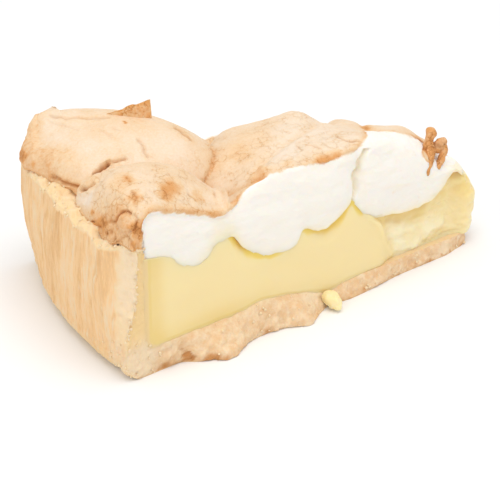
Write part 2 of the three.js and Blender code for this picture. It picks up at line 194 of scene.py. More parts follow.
class PieColours(bpy.types.PropertyGroup):
    """Colours of the baked slice."""

    foam: colour("Foam", "Meringue inside the slice", (0.925, 0.875, 0.80))
    foam_tint: colour("Tinted foam", "Meringue where curd shows through it", (0.88, 0.76, 0.47))
    skin: colour("Skin", "Palest baked skin", (0.865, 0.715, 0.56))
    blush: colour("Blush", "Lightly coloured skin", (0.83, 0.585, 0.35))
    # this browned colour also stands for painted shade in the seams, along the rim and in the gap over it
    toast_and_shade: colour("Toast", "Skin that caught the heat", (0.72, 0.345, 0.12))
    # also painted shade inside the cracks and the ring groove of the skin
    scorch_and_crack_shade: colour("Scorch", "Darkest tips and cracks of the skin", (0.46, 0.175, 0.045))
    curd: colour("Curd", "Lemon curd on the cut", (0.90, 0.735, 0.39))
    # also painted shade under the meringue edge and in the hollows of the torn folds
    curd_rich_and_shade: colour("Rich curd", "Curd at the edges of the slab", (0.84, 0.625, 0.245))
    # painted highlight on the raised folds of the torn curd, and the drip's own paler tone
    curd_highlight_and_pale: colour("Pale curd", "Raised folds of the torn curd", (0.925, 0.82, 0.55))
    # painted shadow: curd in the shade under the meringue's lobes and edge
    curd_shadow: colour("Deep curd", "Curd in the hollows under the meringue", (0.88, 0.63, 0.13))
    pastry: colour("Pastry", "Outside of the wall", (0.90, 0.595, 0.31))
    pastry_pale: colour("Pale pastry", "Flecks and broken edges of the pastry", (0.87, 0.685, 0.465))
    pastry_moist: colour("Moist pastry", "Pastry that was cut and holds some curd", (0.86, 0.62, 0.31))
    pastry_toast: colour("Toasted pastry", "Darker fibres and crumbs", (0.74, 0.43, 0.19))
    pastry_brown: colour("Browned pastry", "Caught edges of the pastry", (0.56, 0.255, 0.085))


class PieStage(bpy.types.PropertyGroup):
    """Light and ground."""

    ground: FloatProperty(name="Ground", description="Whiteness of the floor", default=0.91)
    sky: FloatProperty(name="Sky", description="Strength of the light from all round", default=0.77)
    key: power("Key light", "Power of the large soft light", 4.3)
    fill: power("Fill light", "Power of the light from the left", 0.9)


# ---------------------------------------------------------------- curves and noise

CELL_FACTORS = np.array([374761393, 668265263, 2147483647])  # turn a cell's place into a scrambled number
SEED_FACTOR = 1274126177
SEED_SHIFT = 17.31
LOW_32_BITS = 0xFFFFFFFF
LOW_16_BITS = 0xFFFF


def unit(x):
    """x kept from 0 to 1."""
    return np.clip(x, 0, 1)


def smooth(low, high, x):
    """Rises from 0 at low to 1 at high along a cubic with level ends."""
    t = unit((x - low) / (high - low))
    return t * t * (3 - 2 * t)


def bump(x, centre, width):
    """Bell curve of height 1."""
    return np.exp(-(((x - centre) / width) ** 2))


def mix(a, b, share):
    return a + (b - a) * share


def stacked(*parts):
    """Points from their coordinates, one array for each axis."""
    return np.stack(np.broadcast_arrays(*parts), -1)


def curve(points, x):
    """Cubic pieces through the points, whose slope at a point is the mean of the slopes beside it."""
    at, height = np.array(points, float).T
    x = np.clip(x, at[0], at[-1])
    i = np.clip(np.searchsorted(at, x) - 1, 0, len(at) - 2)
    slope = np.diff(height) / np.diff(at)
    tangent = np.concatenate([slope[:1], (slope[1:] + slope[:-1]) / 2, slope[-1:]])
    width = at[i + 1] - at[i]
    t = (x - at[i]) / width
    return (
        (2 * t**3 - 3 * t**2 + 1) * height[i]
        + (t**3 - 2 * t**2 + t) * width * tangent[i]
        + (3 * t**2 - 2 * t**3) * height[i + 1]
        + (t**3 - t**2) * width * tangent[i + 1]
    )


def noise(points, size, seed):
    """Smooth random field from -1 to 1: random values at the corners of cells of the given size, in mm,
    blended inside each cell by quintic weights. size may differ along the three axes."""
    place = points / np.asarray(size, float) + seed * SEED_SHIFT
    cell = np.floor(place).astype(np.int64)
    part = place - cell
    weight = part**3 * (part * (part * 6 - 15) + 10)
    total = np.zeros(points.shape[:-1])
    for corner in product((0, 1), repeat=3):
        mixed = ((cell + np.array(corner)) * CELL_FACTORS).sum(axis=-1) + seed * SEED_FACTOR
        mixed = mixed & LOW_32_BITS
        mixed = ((mixed ^ (mixed >> 13)) * SEED_FACTOR) & LOW_32_BITS
        value = ((mixed ^ (mixed >> 16)) & LOW_16_BITS) / (LOW_16_BITS / 2) - 1
        total += value * np.prod(np.where(corner, weight, 1 - weight), axis=-1)
    return total


def layered_noise(points, size, seed, octaves):
    """Sum of noise fields, each half as large and half as high as the one before."""
    size = np.asarray(size, float)
    total = sum(noise(points, size / 2**k, seed + k) / 2**k for k in range(octaves))
    return total / (2 - 2.0 ** (1 - octaves))


def from_line(place, line):
    """Distance from points to a line through the given points, in two or three coordinates."""
    line = np.array(line, float)
    best = np.full(place.shape[:-1], 1e9)
    for start, run in zip(line, np.diff(line, axis=0)):
        share = unit((place - start) @ run / (run @ run))
        best = np.minimum(best, np.linalg.norm(place - start - share[..., None] * run, axis=-1))
    return best


def spot(place, centre, radius):
    """Bell of height 1 round a centre."""
    return np.exp(-((place - np.array(centre)) ** 2).sum(-1) / radius**2)


# ---------------------------------------------------------------- form of the slice


def half_width(s):
    """Half width of the slice: a circle round the nose, then the straight cuts."""
    round_nose = np.sqrt(np.maximum(NOSE_RADIUS**2 - (NOSE_RADIUS - s) ** 2, 0.01))
    return np.where(s < TANGENT_S, round_nose, APEX_WIDTH + FACE_SLOPE * s)


def corner_s(inward):
    """Where a line that lies inward of the outside of the wall meets the cuts."""
    return CORNER_S - inward * np.cos(HALF_ANGLE)


def outline(share, setback, end):
    """Distance from the nose and half width along a layer's edge: first round its nose, whose radius
    keeps it tangent to both cuts, then straight along the cut to end."""
    radius = (APEX_WIDTH + FACE_SLOPE * setback) / (np.hypot(1, FACE_SLOPE) - FACE_SLOPE)
    turn = NOSE_TURN * unit(share / NOSE_SHARE)
    s = setback + radius * (1 - np.cos(turn))
    straight = unit((share - NOSE_SHARE) / (1 - NOSE_SHARE))
    s = s + straight * (end - s)
    return s, np.where(share < NOSE_SHARE, radius * np.sin(turn), APEX_WIDTH + FACE_SLOPE * s)


def across_slice(s, width, across):
    """Plan point on a line across the slice, which bows out towards the wall as the wall does."""
    bowed = np.maximum(s - BOW_START, 0) / (CORNER_S - BOW_START)
    return s + WALL_BOW * bowed**2 * (1 - across**2), width * across


def near_face(distance, depth):
    """1 on a cut, falling to 0 behind it."""
    return bump(np.maximum(distance, 0), 0, depth)


def rim_height(across):
    """Height of the pastry rim: two waves, lower at the back cut and in a dip near the front one."""
    wave = 0.35 * np.sin(across * 19) + 0.25 * np.sin(across * 41 + 1)
    return RIM_HEIGHT + wave - BACK_RIM_DROP * smooth(0.6, 1, across) - 1.2 * bump(across, RIM_DIP, 0.1)


def floor_top(s):
    """Top of the pastry base, which thickens towards the wall."""
    wave = sum(up * bump(s, at, wide) for at, wide, up in FLOOR_WAVES)
    return mix(FLOOR_AT_NOSE, FLOOR_AT_WALL, smooth(*FLOOR_STEP, s)) + wave


def joint(s, y):
    """Height of the joint between curd and meringue."""
    front = near_face(y + half_width(s), JOINT_REACH)
    back = near_face(half_width(s) - y, JOINT_REACH) * (1 - front)
    along = stacked(s, 0.2 * y, 0)
    ripple = JOINT_RIPPLE * layered_noise(along, 3.0, 9, 3) * smooth(10, 16, s)
    wave = BACK_LOBES * np.sin(s * 0.23 + 1) * back + ripple * front
    return mix(curve(HIDDEN_UNDERSIDE, s), curve(FRONT_JOINT, s), front) + wave


def dome_heights(s, y):
    """Height of each spoonful: a dome on a rounded outline."""
    heights = []
    for cs, cy, rs, ry, turn, top, base, square, fall in SPOONFULS:
        u = (s - cs) * np.cos(turn) + (y - cy) * np.sin(turn)
        v = (y - cy) * np.cos(turn) - (s - cs) * np.sin(turn)
        r = (np.abs(u / rs) ** square + np.abs(v / ry) ** square) ** (1 / square)
        dome = np.maximum(1 - r * r, 0) ** fall
        heights.append(base + (top - base) * dome - SKIRT * np.maximum(r - 1, 0))
    return np.array(heights)


def spoonfuls(s, y):
    """Tops of the spoonfuls: where two meet the higher one wins with a soft crease."""
    heights = dome_heights(s, y)
    most = heights.max(axis=0)
    return most + BLEND * np.log(np.exp((heights - most) / BLEND).sum(axis=0))


def seams(s, y):
    """1 where two spoonfuls meet, falling to 0 beside the seam."""
    second, first = np.sort(dome_heights(s, y), axis=0)[-2:]
    return bump(first - second, 0, SEAM_WIDTH)


def skin_height(s, y):
    """Top of the meringue: the spoonfuls, drawn to the height of the edge at each cut."""
    edge = half_width(s)
    front = near_face(y + edge, SKIN_REACH)
    back = near_face(edge - y, SKIN_REACH) * (1 - front)
    return (
        spoonfuls(s, y)
        + (curve(FRONT_EDGE, s) - spoonfuls(s, -edge)) * front
        + (curve(BACK_EDGE, s) - spoonfuls(s, edge)) * back
    )


def pushed(share, s, y, z, width, across, front, back):
    """Points moved out of the cuts by front and back, less and less behind each cut and at the nose."""
    width = np.maximum(width, TANGENT_Y)
    push = back * near_face(width * (1 - across), RELIEF_REACH)
    push = push - front * near_face(width * (1 + across), RELIEF_REACH)
    push = push * smooth(0, NOSE_FADE, share)
    return stacked(NOSE_TO_ORIGIN - s + np.abs(push) * FACE_SLOPE, y + push, z)


# ---------------------------------------------------------------- meshes

SHARP_ANGLE = np.radians(60)
MERGE_DISTANCE = 1e-7  # metres
FINER_AT_CUTS = 0.4  # how much closer together the points of a strip stand near the cuts
LINING_REACH = 0.97  # how far a lining reaches to the cuts, which are at 1
SIDEWAYS = (0.3, 0.9, 0.1)  # a direction along which no tube runs
CRUMB_GRID = (11, 8)  # points round a crumb and from its top to its foot
CRUMB_STRETCH = (0.7, 1.3)
CRUMB_LUMPS = 0.35
CRUMB_RISE = 0.4  # how far the middle of a crumb stands above the surface, in radii
CRUMB_HOVER = 1.4  # lowest height of a crumb's middle above the ground, in radii


def strip_axes(face_steps, sheet_steps):
    """Across and up along a strip that climbs the front cut, crosses the slice, finer towards the cuts,
    and goes down the back cut."""
    climb = np.linspace(0, 1, face_steps, endpoint=False)
    walk = np.linspace(-1, 1, sheet_steps)
    walk = mix(walk, (3 * walk - walk**3) / 2, FINER_AT_CUTS)
    across = np.concatenate([np.full(face_steps, -1.0), walk, np.full(face_steps, 1.0)])
    up = np.concatenate([climb, np.ones(sheet_steps), climb[::-1]])
    return across[None, :], up[None, :]


def grid_faces(rows, columns, first):
    """Triangles of a grid of points, two to a cell."""
    index = first + np.arange(rows * columns).reshape(rows, columns)
    a, b, c, d = index[:-1, :-1], index[:-1, 1:], index[1:, 1:], index[1:, :-1]
    return np.concatenate([np.stack([a, b, c], -1).reshape(-1, 3), np.stack([a, c, d], -1).reshape(-1, 3)])


def border(grid, first):
    """Points and indices along the three open sides of a grid, from its first row and back to it."""
    rows, columns = grid.shape[:2]
    index = first + np.arange(rows * columns).reshape(rows, columns)
    return tuple(np.concatenate([a[:, 0], a[-1, 1:-1], a[::-1, -1]]) for a in (grid, index))


def length_shares(points):
    """Share of a row's length that lies before each of its points."""
    run = np.concatenate([[0], np.cumsum(np.linalg.norm(np.diff(points, axis=0), axis=1))])
    return run / run[-1]


def zipped(points_a, index_a, points_b, index_b):
    """Triangles between two rows of points, taken in the order of their shares of the rows' lengths."""
    share_a = length_shares(points_a)
    share_b = length_shares(points_b)
    middles = np.concatenate([(share_a[1:] + share_a[:-1]) / 2, (share_b[1:] + share_b[:-1]) / 2])
    from_a = (np.arange(len(middles)) < len(share_a) - 1)[np.argsort(middles, kind="stable")]
    i = np.cumsum(from_a) - from_a
    j = np.cumsum(~from_a) - ~from_a
    next_a = index_a[np.minimum(i + 1, len(index_a) - 1)]
    next_b = index_b[np.minimum(j + 1, len(index_b) - 1)]
    return np.stack([index_a[i], np.where(from_a, next_a, next_b), index_b[j]], -1)


def normals_of(grid):
    """Unit normals of a grid of points: the cross product of its two difference vectors."""
    normal = np.cross(np.gradient(grid, axis=1), np.gradient(grid, axis=0))
    return normal / np.maximum(np.linalg.norm(normal, axis=-1, keepdims=True), 1e-9)


def softened(grid, amount, rounds):
    """Each point moved towards the mean of its two neighbours along the strip, amount from 0 to 1."""
    for _ in range(rounds):
        moved = grid.copy()
        moved[:, 1:-1] = mix(grid[:, 1:-1], (grid[:, :-2] + grid[:, 2:]) / 2, amount[:, 1:-1, None])
        grid = moved
    return grid


def piece(name, vertices, faces, values, material, slot, *nodes):
    """A closed mesh in metres that rides with the slice and stands for the named solids. values are
    numbers for each vertex, kept as attributes for the material."""
    mesh = bpy.data.meshes.new(name)
    mesh.from_pydata(vertices * MM, [], faces)
    for key, value in values.items():
        mesh.attributes.new(key, "FLOAT", "POINT").data.foreach_set("value", value.astype(np.float32).ravel())
    shape = bmesh.new()
    shape.from_mesh(mesh)
    bmesh.ops.remove_doubles(shape, verts=shape.verts, dist=MERGE_DISTANCE)
    bmesh.ops.recalc_face_normals(shape, faces=shape.faces)
    shape.to_mesh(mesh)
    open_edges = sum(len(edge.link_faces) != 2 for edge in shape.edges)
    shape.free()
    if open_edges:
        raise RuntimeError(f"{name} has {open_edges} open or crowded edges")
    mesh.shade_smooth()
    mesh.set_sharp_from_angle(angle=SHARP_ANGLE)
    mesh.materials.append(material)
    made = bpy.data.objects.new(name, mesh)
    bpy.context.scene.collection.objects.link(made)
    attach(made, "root")
    if nodes:
        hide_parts(*nodes)


def closed_body(name, strip, lining, values, hidden, material, slot, *nodes):
    """A body from a fine strip and a coarse lining: two grids whose first rows close on the nose, joined
    along their other three sides. hidden holds the values of the lining."""
    first = strip.shape[0] * strip.shape[1]
    seam = zipped(*border(strip, 0), *border(lining, first))
    outside = grid_faces(*strip.shape[:2], 0)
    inside = grid_faces(*lining.shape[:2], first)[:, ::-1]
    vertices = np.concatenate([strip.reshape(-1, 3), lining.reshape(-1, 3)])
    whole = {}
    for key, value in values.items():
        on_strip = np.broadcast_to(value, strip.shape[:2]).ravel()
        on_lining = np.full(len(vertices) - first, hidden.get(key, 0.0))
        whole[key] = np.concatenate([on_strip, on_lining])
    piece(name, vertices, np.concatenate([outside, inside, seam]), whole, material, slot, *nodes)


def lining_axes(rows, columns):
    """Shares along and across a layer for its coarse lining, which ends a little inside the cuts."""
    return np.linspace(0, 1, rows)[:, None], np.linspace(-LINING_REACH, LINING_REACH, columns)[None, :]


def steps(millimetres, sizes):
    """Number of grid steps along a length."""
    return max(int(millimetres * MM / sizes.step), 4)


def stations(millimetres, sizes):
    return np.linspace(0, 1, steps(millimetres, sizes))[:, None]


def to_frame(point):
    """Points given as distance from the nose, y and height, in the frame of the slice."""
    return stacked(NOSE_TO_ORIGIN - point[..., 0], point[..., 1], point[..., 2])


def along_path(path, share):
    """Points on the smooth curve through a path, for shares of it from 0 to 1."""
    knots = np.linspace(0, 1, len(path))
    return np.concatenate([curve(list(zip(knots, axis)), share) for axis in np.array(path).T], -1)


def tube(path, radius, rows, columns, ragged, seed):
    """A closed tube round the curve through path, (s, y, z), whose radius runs through the given radii,
    closes at both ends and varies by the share ragged."""
    share = np.linspace(0, 1, rows)[:, None, None]
    middle = to_frame(along_path(path, share))
    ahead = np.gradient(middle, axis=0)
    ahead /= np.linalg.norm(ahead, axis=-1, keepdims=True)
    side = np.cross(ahead, SIDEWAYS)
    side /= np.linalg.norm(side, axis=-1, keepdims=True)
    turn = np.linspace(0, 2 * np.pi, columns)[None, :, None]
    around = side * np.cos(turn) + np.cross(ahead, side) * np.sin(turn)
    size = along_path([(value,) for value in radius], share) * (1 - (2 * share - 1) ** 8) ** 0.5
    lump = 1 + ragged * layered_noise(middle + around * size, 1.6, seed, 2)[..., None]
    return middle + around * size * lump


def closed_piece(name, point, values, material, slot, *nodes):
    """A piece from a grid that closes on itself once its coinciding points are merged."""
    flat = {key: np.broadcast_to(value, point.shape[:2]).ravel() for key, value in values.items()}
    piece(name, point.reshape(-1, 3), grid_faces(*point.shape[:2], 0), flat, material, slot, *nodes)


def scatter_crumbs(grid, normal, weight, count, sizes, rng):
    """Vertices and triangles of small ragged balls half sunk in a surface, whose places are drawn with
    the given weights."""
    chance = weight.ravel() / weight.sum()
    chosen = rng.choice(chance.size, count, p=chance)
    turns, rises = CRUMB_GRID
    turn, rise = np.meshgrid(np.linspace(0, 2 * np.pi, turns), np.linspace(0, np.pi, rises), indexing="ij")
    ball = np.stack([np.sin(rise) * np.cos(turn), np.sin(rise) * np.sin(turn), np.cos(rise)], -1)
    radius = rng.uniform(*sizes, (count, 1, 1, 1)) * rng.uniform(*CRUMB_STRETCH, (count, 1, 1, 3))
    shift = rng.uniform(-50, 50, (count, 1, 1, 3))
    lump = 1 + CRUMB_LUMPS * noise(ball[None] + shift, 0.9, 5)[..., None]
    middle = grid.reshape(-1, 3)[chosen] + normal.reshape(-1, 3)[chosen] * radius[:, 0, 0, :1] * CRUMB_RISE
    middle[:, 2] = np.maximum(middle[:, 2], radius[:, 0, 0, 2] * CRUMB_HOVER)
    vertices = middle[:, None, None] + ball * radius * lump
    faces = grid_faces(turns, rises, 0)[None] + np.arange(count)[:, None, None] * turns * rises
    return vertices.reshape(-1, 3), faces.reshape(-1, 3)


# ---------------------------------------------------------------- pastry

FLOOR_SHARE = 0.6  # shares of the outer line at which the foot begins, the wall begins and the wall ends
FOOT_SHARE = 0.65
WALL_SHARE = 0.93
RIM_ROUNDING = 1.6
RIM_SHARE = 0.4  # of the way over the rim, goes round its outer edge
RIM_TATTER = 0.75
RIM_FALL = 0.6  # how much lower the rim's inner edge lies
BURNT_NOTCH = np.array([93.8, 1.5])  # on the front cut, as all these places, by (s, z)
NOTCH_SQUEEZE = np.array([0.7, 1.0])  # makes it wider than high
CREAM_PATCHES = (((106.5, 4.6), 4.6), ((57.0, 4.6), 2.4), ((52.0, 3.4), 2.4), ((12.0, 1.4), 2.0))
BROWN_BESIDE_NOTCH = ((99.0, 0.8), 3.2)
BROWN_TIPS = (((71.5, 1.0), 1.6), ((1.5, 2.0), 2.2), ((89.0, 0.6), 2.5))
KNOBS = (((86.5, 1.8), 3.4, 1.0), ((80.6, 3.0), 1.8, 0.9), ((100.0, 2.4), 2.2, 0.5), ((61.0, 1.4), 2.6, 0.6))
RIDGE_REACH = ((8, 1.1), (20, 1.0), (24, 0.93), (36, 0.88))  # of the pale ridge, (z, up)
CRUMB_COUNT = 260
CRUMB_RADII = (0.12, 0.4)


def foot_jut(s):
    """How far the pastry foot juts out of the front cut."""
    ledge = (FOOT_AT_NOSE + (FOOT_AT_WALL - FOOT_AT_NOSE) * smooth(25, 45, s)) * smooth(6, 12, s)
    bumps = sum(out * bump(s, at, width) for at, width, out in FOOT_BUMPS)
    return ledge * (1 - smooth(91, 96, s)) + bumps


def wall_lean(climb, across, height):
    """How far the outside of the wall stands inward at a height: it flares and bellies outwards, and the
    broken corner at the front cut stands back."""
    at_back = smooth(0.15, 0.6, across)
    flare = mix(WALL_FLARE, BACK_FLARE, at_back) * climb
    belly = mix(WALL_BELLY, BACK_BELLY, at_back) * np.sin(np.pi * climb)
    behind_cut = (across + 1) * CORNER_Y
    broken = BROKEN_CORNER * smooth(9, 22, height) * unit(1 - behind_cut / BROKEN_REACH)
    return broken - (flare + belly)


def to_wall(body, setback, end, inwards):
    """Distance from the nose and half width along a line that runs to end and then on to inwards."""
    s, width = outline(body, setback, end)
    s = np.where(body < 1, s, corner_s(inwards))
    return s, np.where(body < 1, width, APEX_WIDTH + FACE_SLOPE * s)


def pastry_paths(share, across):
    """The outer line of the pastry runs from the nose along the underside, up the outside and over the
    rim; the inner line runs along the floor and up the inside. Both as (s, width, height)."""
    floor = unit(share / FLOOR_SHARE)
    turn = unit((share - FLOOR_SHARE) / (FOOT_SHARE - FLOOR_SHARE)) * np.pi / 2
    climb = unit((share - FOOT_SHARE) / (WALL_SHARE - FOOT_SHARE))
    over = unit((share - WALL_SHARE) / (1 - WALL_SHARE))
    rim = rim_height(across)
    tatter = layered_noise(stacked(across * CORNER_Y, over * 4, 0), 2.6, 3, 4)
    shoulder = rim - RIM_ROUNDING + RIM_TATTER * tatter
    rounding = unit(over / RIM_SHARE) * np.pi / 2
    height = FOOT_RADIUS * (1 - np.cos(turn)) + (shoulder - FOOT_RADIUS) * climb
    inwards = FOOT_RADIUS * (1 - np.sin(turn)) + RIM_ROUNDING * (1 - np.cos(rounding))
    inwards = inwards + (WALL_THICKNESS - RIM_ROUNDING) * unit((over - RIM_SHARE) / (1 - RIM_SHARE))
    inwards = inwards + wall_lean(climb, across, height) * (1 - over)
    height = height + RIM_ROUNDING * np.sin(rounding) - RIM_FALL * smooth(0.6, 1, over)
    outer = (*to_wall(floor, PASTRY_SET_BACK, corner_s(FOOT_RADIUS), inwards), height)

    inwards = WALL_THICKNESS + FILLET_RADIUS * (1 - np.sin(turn))
    s, width = to_wall(floor, PASTRY_SET_BACK, corner_s(WALL_THICKNESS + FILLET_RADIUS), inwards)
    upright = unit((share - FOOT_SHARE) / (1 - FOOT_SHARE))
    wall_height = rim - RIM_FALL - (FLOOR_AT_WALL + FILLET_RADIUS)
    height = FLOOR_AT_WALL + FILLET_RADIUS * (1 - np.cos(turn)) + wall_height * upright
    height = np.where(floor < 1, floor_top(across_slice(s, width, across)[0]), height)
    return outer, (s, width, height)


def pastry_point(share, across, through):
    """Point of the pastry: through goes from the inner line, 0, to the outer one, 1."""
    outer, inner = pastry_paths(share, across)
    s, width, z = (mix(i, o, through) for i, o in zip(inner, outer))
    s, y = across_slice(s, width, across)
    roll = unit(1 - z / floor_top(s)) ** 0.8 * mix(1, 0.85, smooth(0.5, 0, z))
    out_back = 0.9 + 0.6 * np.sin(s * 0.2)
    point = pushed(share, s, y, z, width, across, foot_jut(s) * roll, out_back * roll)
    return point, s, y, z


def wall_fibres(point, y, z, seed):
    """Fine and wide streaks, flakes and splits down the outside of the wall: noise stretched upright, at
    places that sway sideways."""
    sway = 0.12 * z + 0.9 * layered_noise(point, (5.0, 5.0, 8.0), seed + 6, 2)
    down = stacked(y + sway, z, 0)
    streak = layered_noise(down, (1.2, 14.0, 1.0), seed + 4, 2)
    wide_streak = layered_noise(down, (4.5, 26.0, 1.0), seed + 8, 2)
    flake = np.maximum(layered_noise(down, (0.8, 4.5, 1.0), seed + 12, 3) - 0.25, 0)
    split = np.maximum(layered_noise(down, (1.0, 9.0, 1.0), seed + 16, 2) - 0.45, 0)
    return streak, wide_streak, flake, split


def bake_crust(sizes, colours):
    """Crust: height of a point = fibres stretched down the wall + crumbs on cuts, rim and broken corner
    + knobs on the foot, each a noise field or a bell curve round its place."""
    share = stations(PASTRY_RUN, sizes)
    across, up = strip_axes(steps(WALL_THICKNESS, sizes), steps(2 * CORNER_Y, sizes))
    point, s, y, z = pastry_point(share, across, up)
    seed = sizes.seed
    on_cut = (up < 1) * np.ones_like(s)
    front = on_cut * (across < 0)
    crumb = layered_noise(point, 2.4, seed + 24, 4)
    behind = (across + 1) * CORNER_Y + 1.5 * layered_noise(point, (2.4, 2.4, 3.6), seed + 1, 3) + 0.02 * z
    rim = smooth(WALL_SHARE - 0.004, WALL_SHARE + 0.012, share) * (1 - on_cut)
    wall = smooth(FOOT_SHARE - 0.05, FOOT_SHARE + 0.01, share) * (1 - on_cut) * (1 - rim)
    ridge = smooth(5.2, 2.8, behind) * smooth(8.5, 13, z + 1.5 * noise(point, 3.0, seed + 2)) * wall
    reach = curve(RIDGE_REACH, z) + 0.16 * noise(point, 1.8, seed + 3) + 0.16 * crumb - 0.04
    ridge = np.maximum(ridge, front * smooth(reach - 0.05, reach + 0.05, up) * smooth(8.5, 12, z))
    corner = smooth(10, 5, behind) * smooth(13, 7, z)

    streak, wide_streak, flake, split = wall_fibres(point, y, z, seed)
    plain = wall * (1 - ridge)
    fibres = 0.7 * streak + 0.5 * wide_streak + 1.2 * flake - 2.4 * split
    height = plain * sizes.streak_depth / MM * fibres
    height = height + wall * 0.5 * layered_noise(point, 12.0, seed + 20, 2)

    lump = layered_noise(point, 5.0, seed + 28, 4)
    low = smooth(9, 6, z) * on_cut
    rough = np.clip(on_cut + rim + 0.9 * ridge + corner + smooth(9, 4, z) * wall, 0, 1.2)
    rough = rough * smooth(0.0, 0.7, z) * np.where(on_cut > 0, smooth(0.0, 0.3, up), 1)
    brink = smooth(8, 13, z) * (front * smooth(0.75, 1, up) + wall * smooth(1.4, 0.2, behind))
    rough = rough + 1.1 * brink
    sand = layered_noise(point, 1.0, seed + 32, 2)
    height = height + rough * sizes.crumble / MM * (crumb + (0.35 + 0.25 * low + 0.4 * rim) * sand)
    height = height + low * smooth(0.3, 1.5, z) * 0.95 * lump
    on_face = stacked(s, z)
    height = height + front * sum(out * spot(on_face, place, wide) for place, wide, out in KNOBS)
    warp = stacked(crumb, layered_noise(point, 1.6, seed + 36, 2))
    burnt = spot((on_face + 2.0 * warp) * NOTCH_SQUEEZE, BURNT_NOTCH * NOTCH_SQUEEZE, 1.5)
    height = height - 0.6 * front * smooth(0.2, 1.0, burnt)
    height = height + 0.35 * ridge * on_cut * (1 + crumb)
    height = height * smooth(0.0, 0.02, share) * smooth(0.0, 0.25, z)
    strip = point - normals_of(point) * height[..., None]
    strip[..., 2] = np.maximum(strip[..., 2], 0)

    patch = front * sum(spot(on_face + crumb[..., None], place, wide) for place, wide in CREAM_PATCHES)
    edge_brown = 0.4 + 0.35 * bump(s, 89, 6) + 0.3 * smooth(60, 48, s) + 0.4 * smooth(97, 103, s)
    foot_edge = smooth(1.9, 0.2, z + 0.9 * crumb) * edge_brown * on_cut * (0.65 + 0.9 * sand)
    sole = smooth(1.2, 0.0, z) * (1 - on_cut)
    notch = 0.95 * smooth(0.2, 0.9, burnt) + 0.4 * spot(on_face + 1.4 * warp, *BROWN_BESIDE_NOTCH)
    tips = 0.5 * sum(spot(on_face, place, wide) for place, wide in BROWN_TIPS)
    cloud = layered_noise(point, 7.0, seed + 40, 3)
    broken = ridge * mix(0.6, 1, smooth(12, 22, z)) + (0.5 + 0.5 * crumb) * rim + 0.4 * corner
    values = {
        "pale": unit(broken + patch),
        "low": smooth(10, 6, z) * on_cut,
        "brown": unit(foot_edge + 0.5 * sole + front * (notch + tips) + 0.2 * smooth(4, 0.5, z) * wall),
        "streak": plain * unit(0.55 + 0.35 * streak + 0.2 * wide_streak + 0.2 * cloud),
        "fleck": plain * unit(1.3 * flake + 0.15 * smooth(20, 11, behind)),
        "split": unit(plain * 3.0 * split),
        "wall": plain,
    }
    lining = pastry_point(*lining_axes(60, 24), 0.0)[0]
    material = pastry_material(colours)
    closed_body("pastry_shell", strip, lining, values, {"pale": 0.5}, material, "pastry", "crust")

    rng = np.random.default_rng(seed)
    edge = unit(brink + 0.12 * corner + 0.15 * rim * (across < 0.5))
    edge = (edge + front * bump(up, reach, 0.07) * smooth(8, 12, z)) * (share < 0.99)
    vertices, faces = scatter_crumbs(strip, -normals_of(strip), edge, CRUMB_COUNT, CRUMB_RADII, rng)
    piece("pastry_crumbs", vertices, faces, {"pale": np.full(len(vertices), 0.9)}, material, "pastry")


# ---------------------------------------------------------------- curd

TORN_EDGE = ((35.2, 18.6), (32.8, 16.6), (31.4, 13.6), (29.9, 9.3), (28.7, 6.6), (28.6, 3.6))  # (s, z)
TORN_SWELLS = (  # raised folds on the torn end, with a painted highlight: place, radius, height
    ((26.4, 11.6), 2.4, 0.9), ((22.6, 10.4), 1.6, 0.6), ((16.6, 9.0), 3.0, 0.9), ((12.6, 8.3), 1.8, 0.6),
    ((21.5, 4.6), 2.4, 0.8), ((9.0, 5.0), 1.6, 0.4), ((28.6, 5.4), 1.5, 0.5),
)
SLAB_CORNER = 101.2  # middle of the rounding at the slab's lower corner
SLAB_ROUNDING = 3.0
CRESCENTS = (  # painted shadow in the hollows under the meringue: place, half length, height
    (79.2, 1.6, 3.0), (75.5, 2.6, 1.9), (69.0, 6.0, 1.1), (57.2, 1.6, 1.7), (51.0, 4.5, 2.2),
    (46.0, 2.5, 2.2), (41.4, 1.6, 2.4),
)
CURD_LINING = 1.25  # the lining's way along the floor is 1, and the rest goes up the wall
DRIP_PATH = ((51.2, -17.8, 2.7), (50.9, -20.2, 2.6), (50.4, -22.3, 2.0), (50.3, -24.1, 1.0))
DRIP_RADII = (1.2, 2.0, 1.7, 0.7)


def curd_point(share, across, up):
    """Point of the curd: up goes from the pastry floor, 0, to the joint with the meringue, 1."""
    end = WALL_THICKNESS - LAP
    rounding = 1.4 * np.maximum(1 - 2 * up, 0) ** 2 + 3.6 * np.maximum(2 * up - 1, 0) ** 3
    s, width = outline(share, rounding - NOSE_BULGE, corner_s(end))
    s, y = across_slice(s, width, across)
    inwards = (corner_s(0) - s) / np.cos(HALF_ANGLE)
    into_fillet = np.clip(FILLET_RADIUS - (inwards - end), 0, FILLET_RADIUS)
    fillet = FILLET_RADIUS - np.sqrt(FILLET_RADIUS**2 - into_fillet**2)
    z = mix(floor_top(s) - LAP + fillet, joint(s, y) + LAP, up)
    torn = SLAB_SET_BACK * smooth(SLAB_END + 2, SLAB_END - 2, s) * smooth(3, 10, s)
    hollow = sum(depth * bump(s, at, wide) for at, wide, depth in HOLLOWS)
    back = 0.5 * np.sin(s * 0.15) * np.sin(np.pi * up)
    point = pushed(share, s, y, z, width, across, -torn - hollow * smooth(0.7, 1, up), back)
    return point, s, y, z


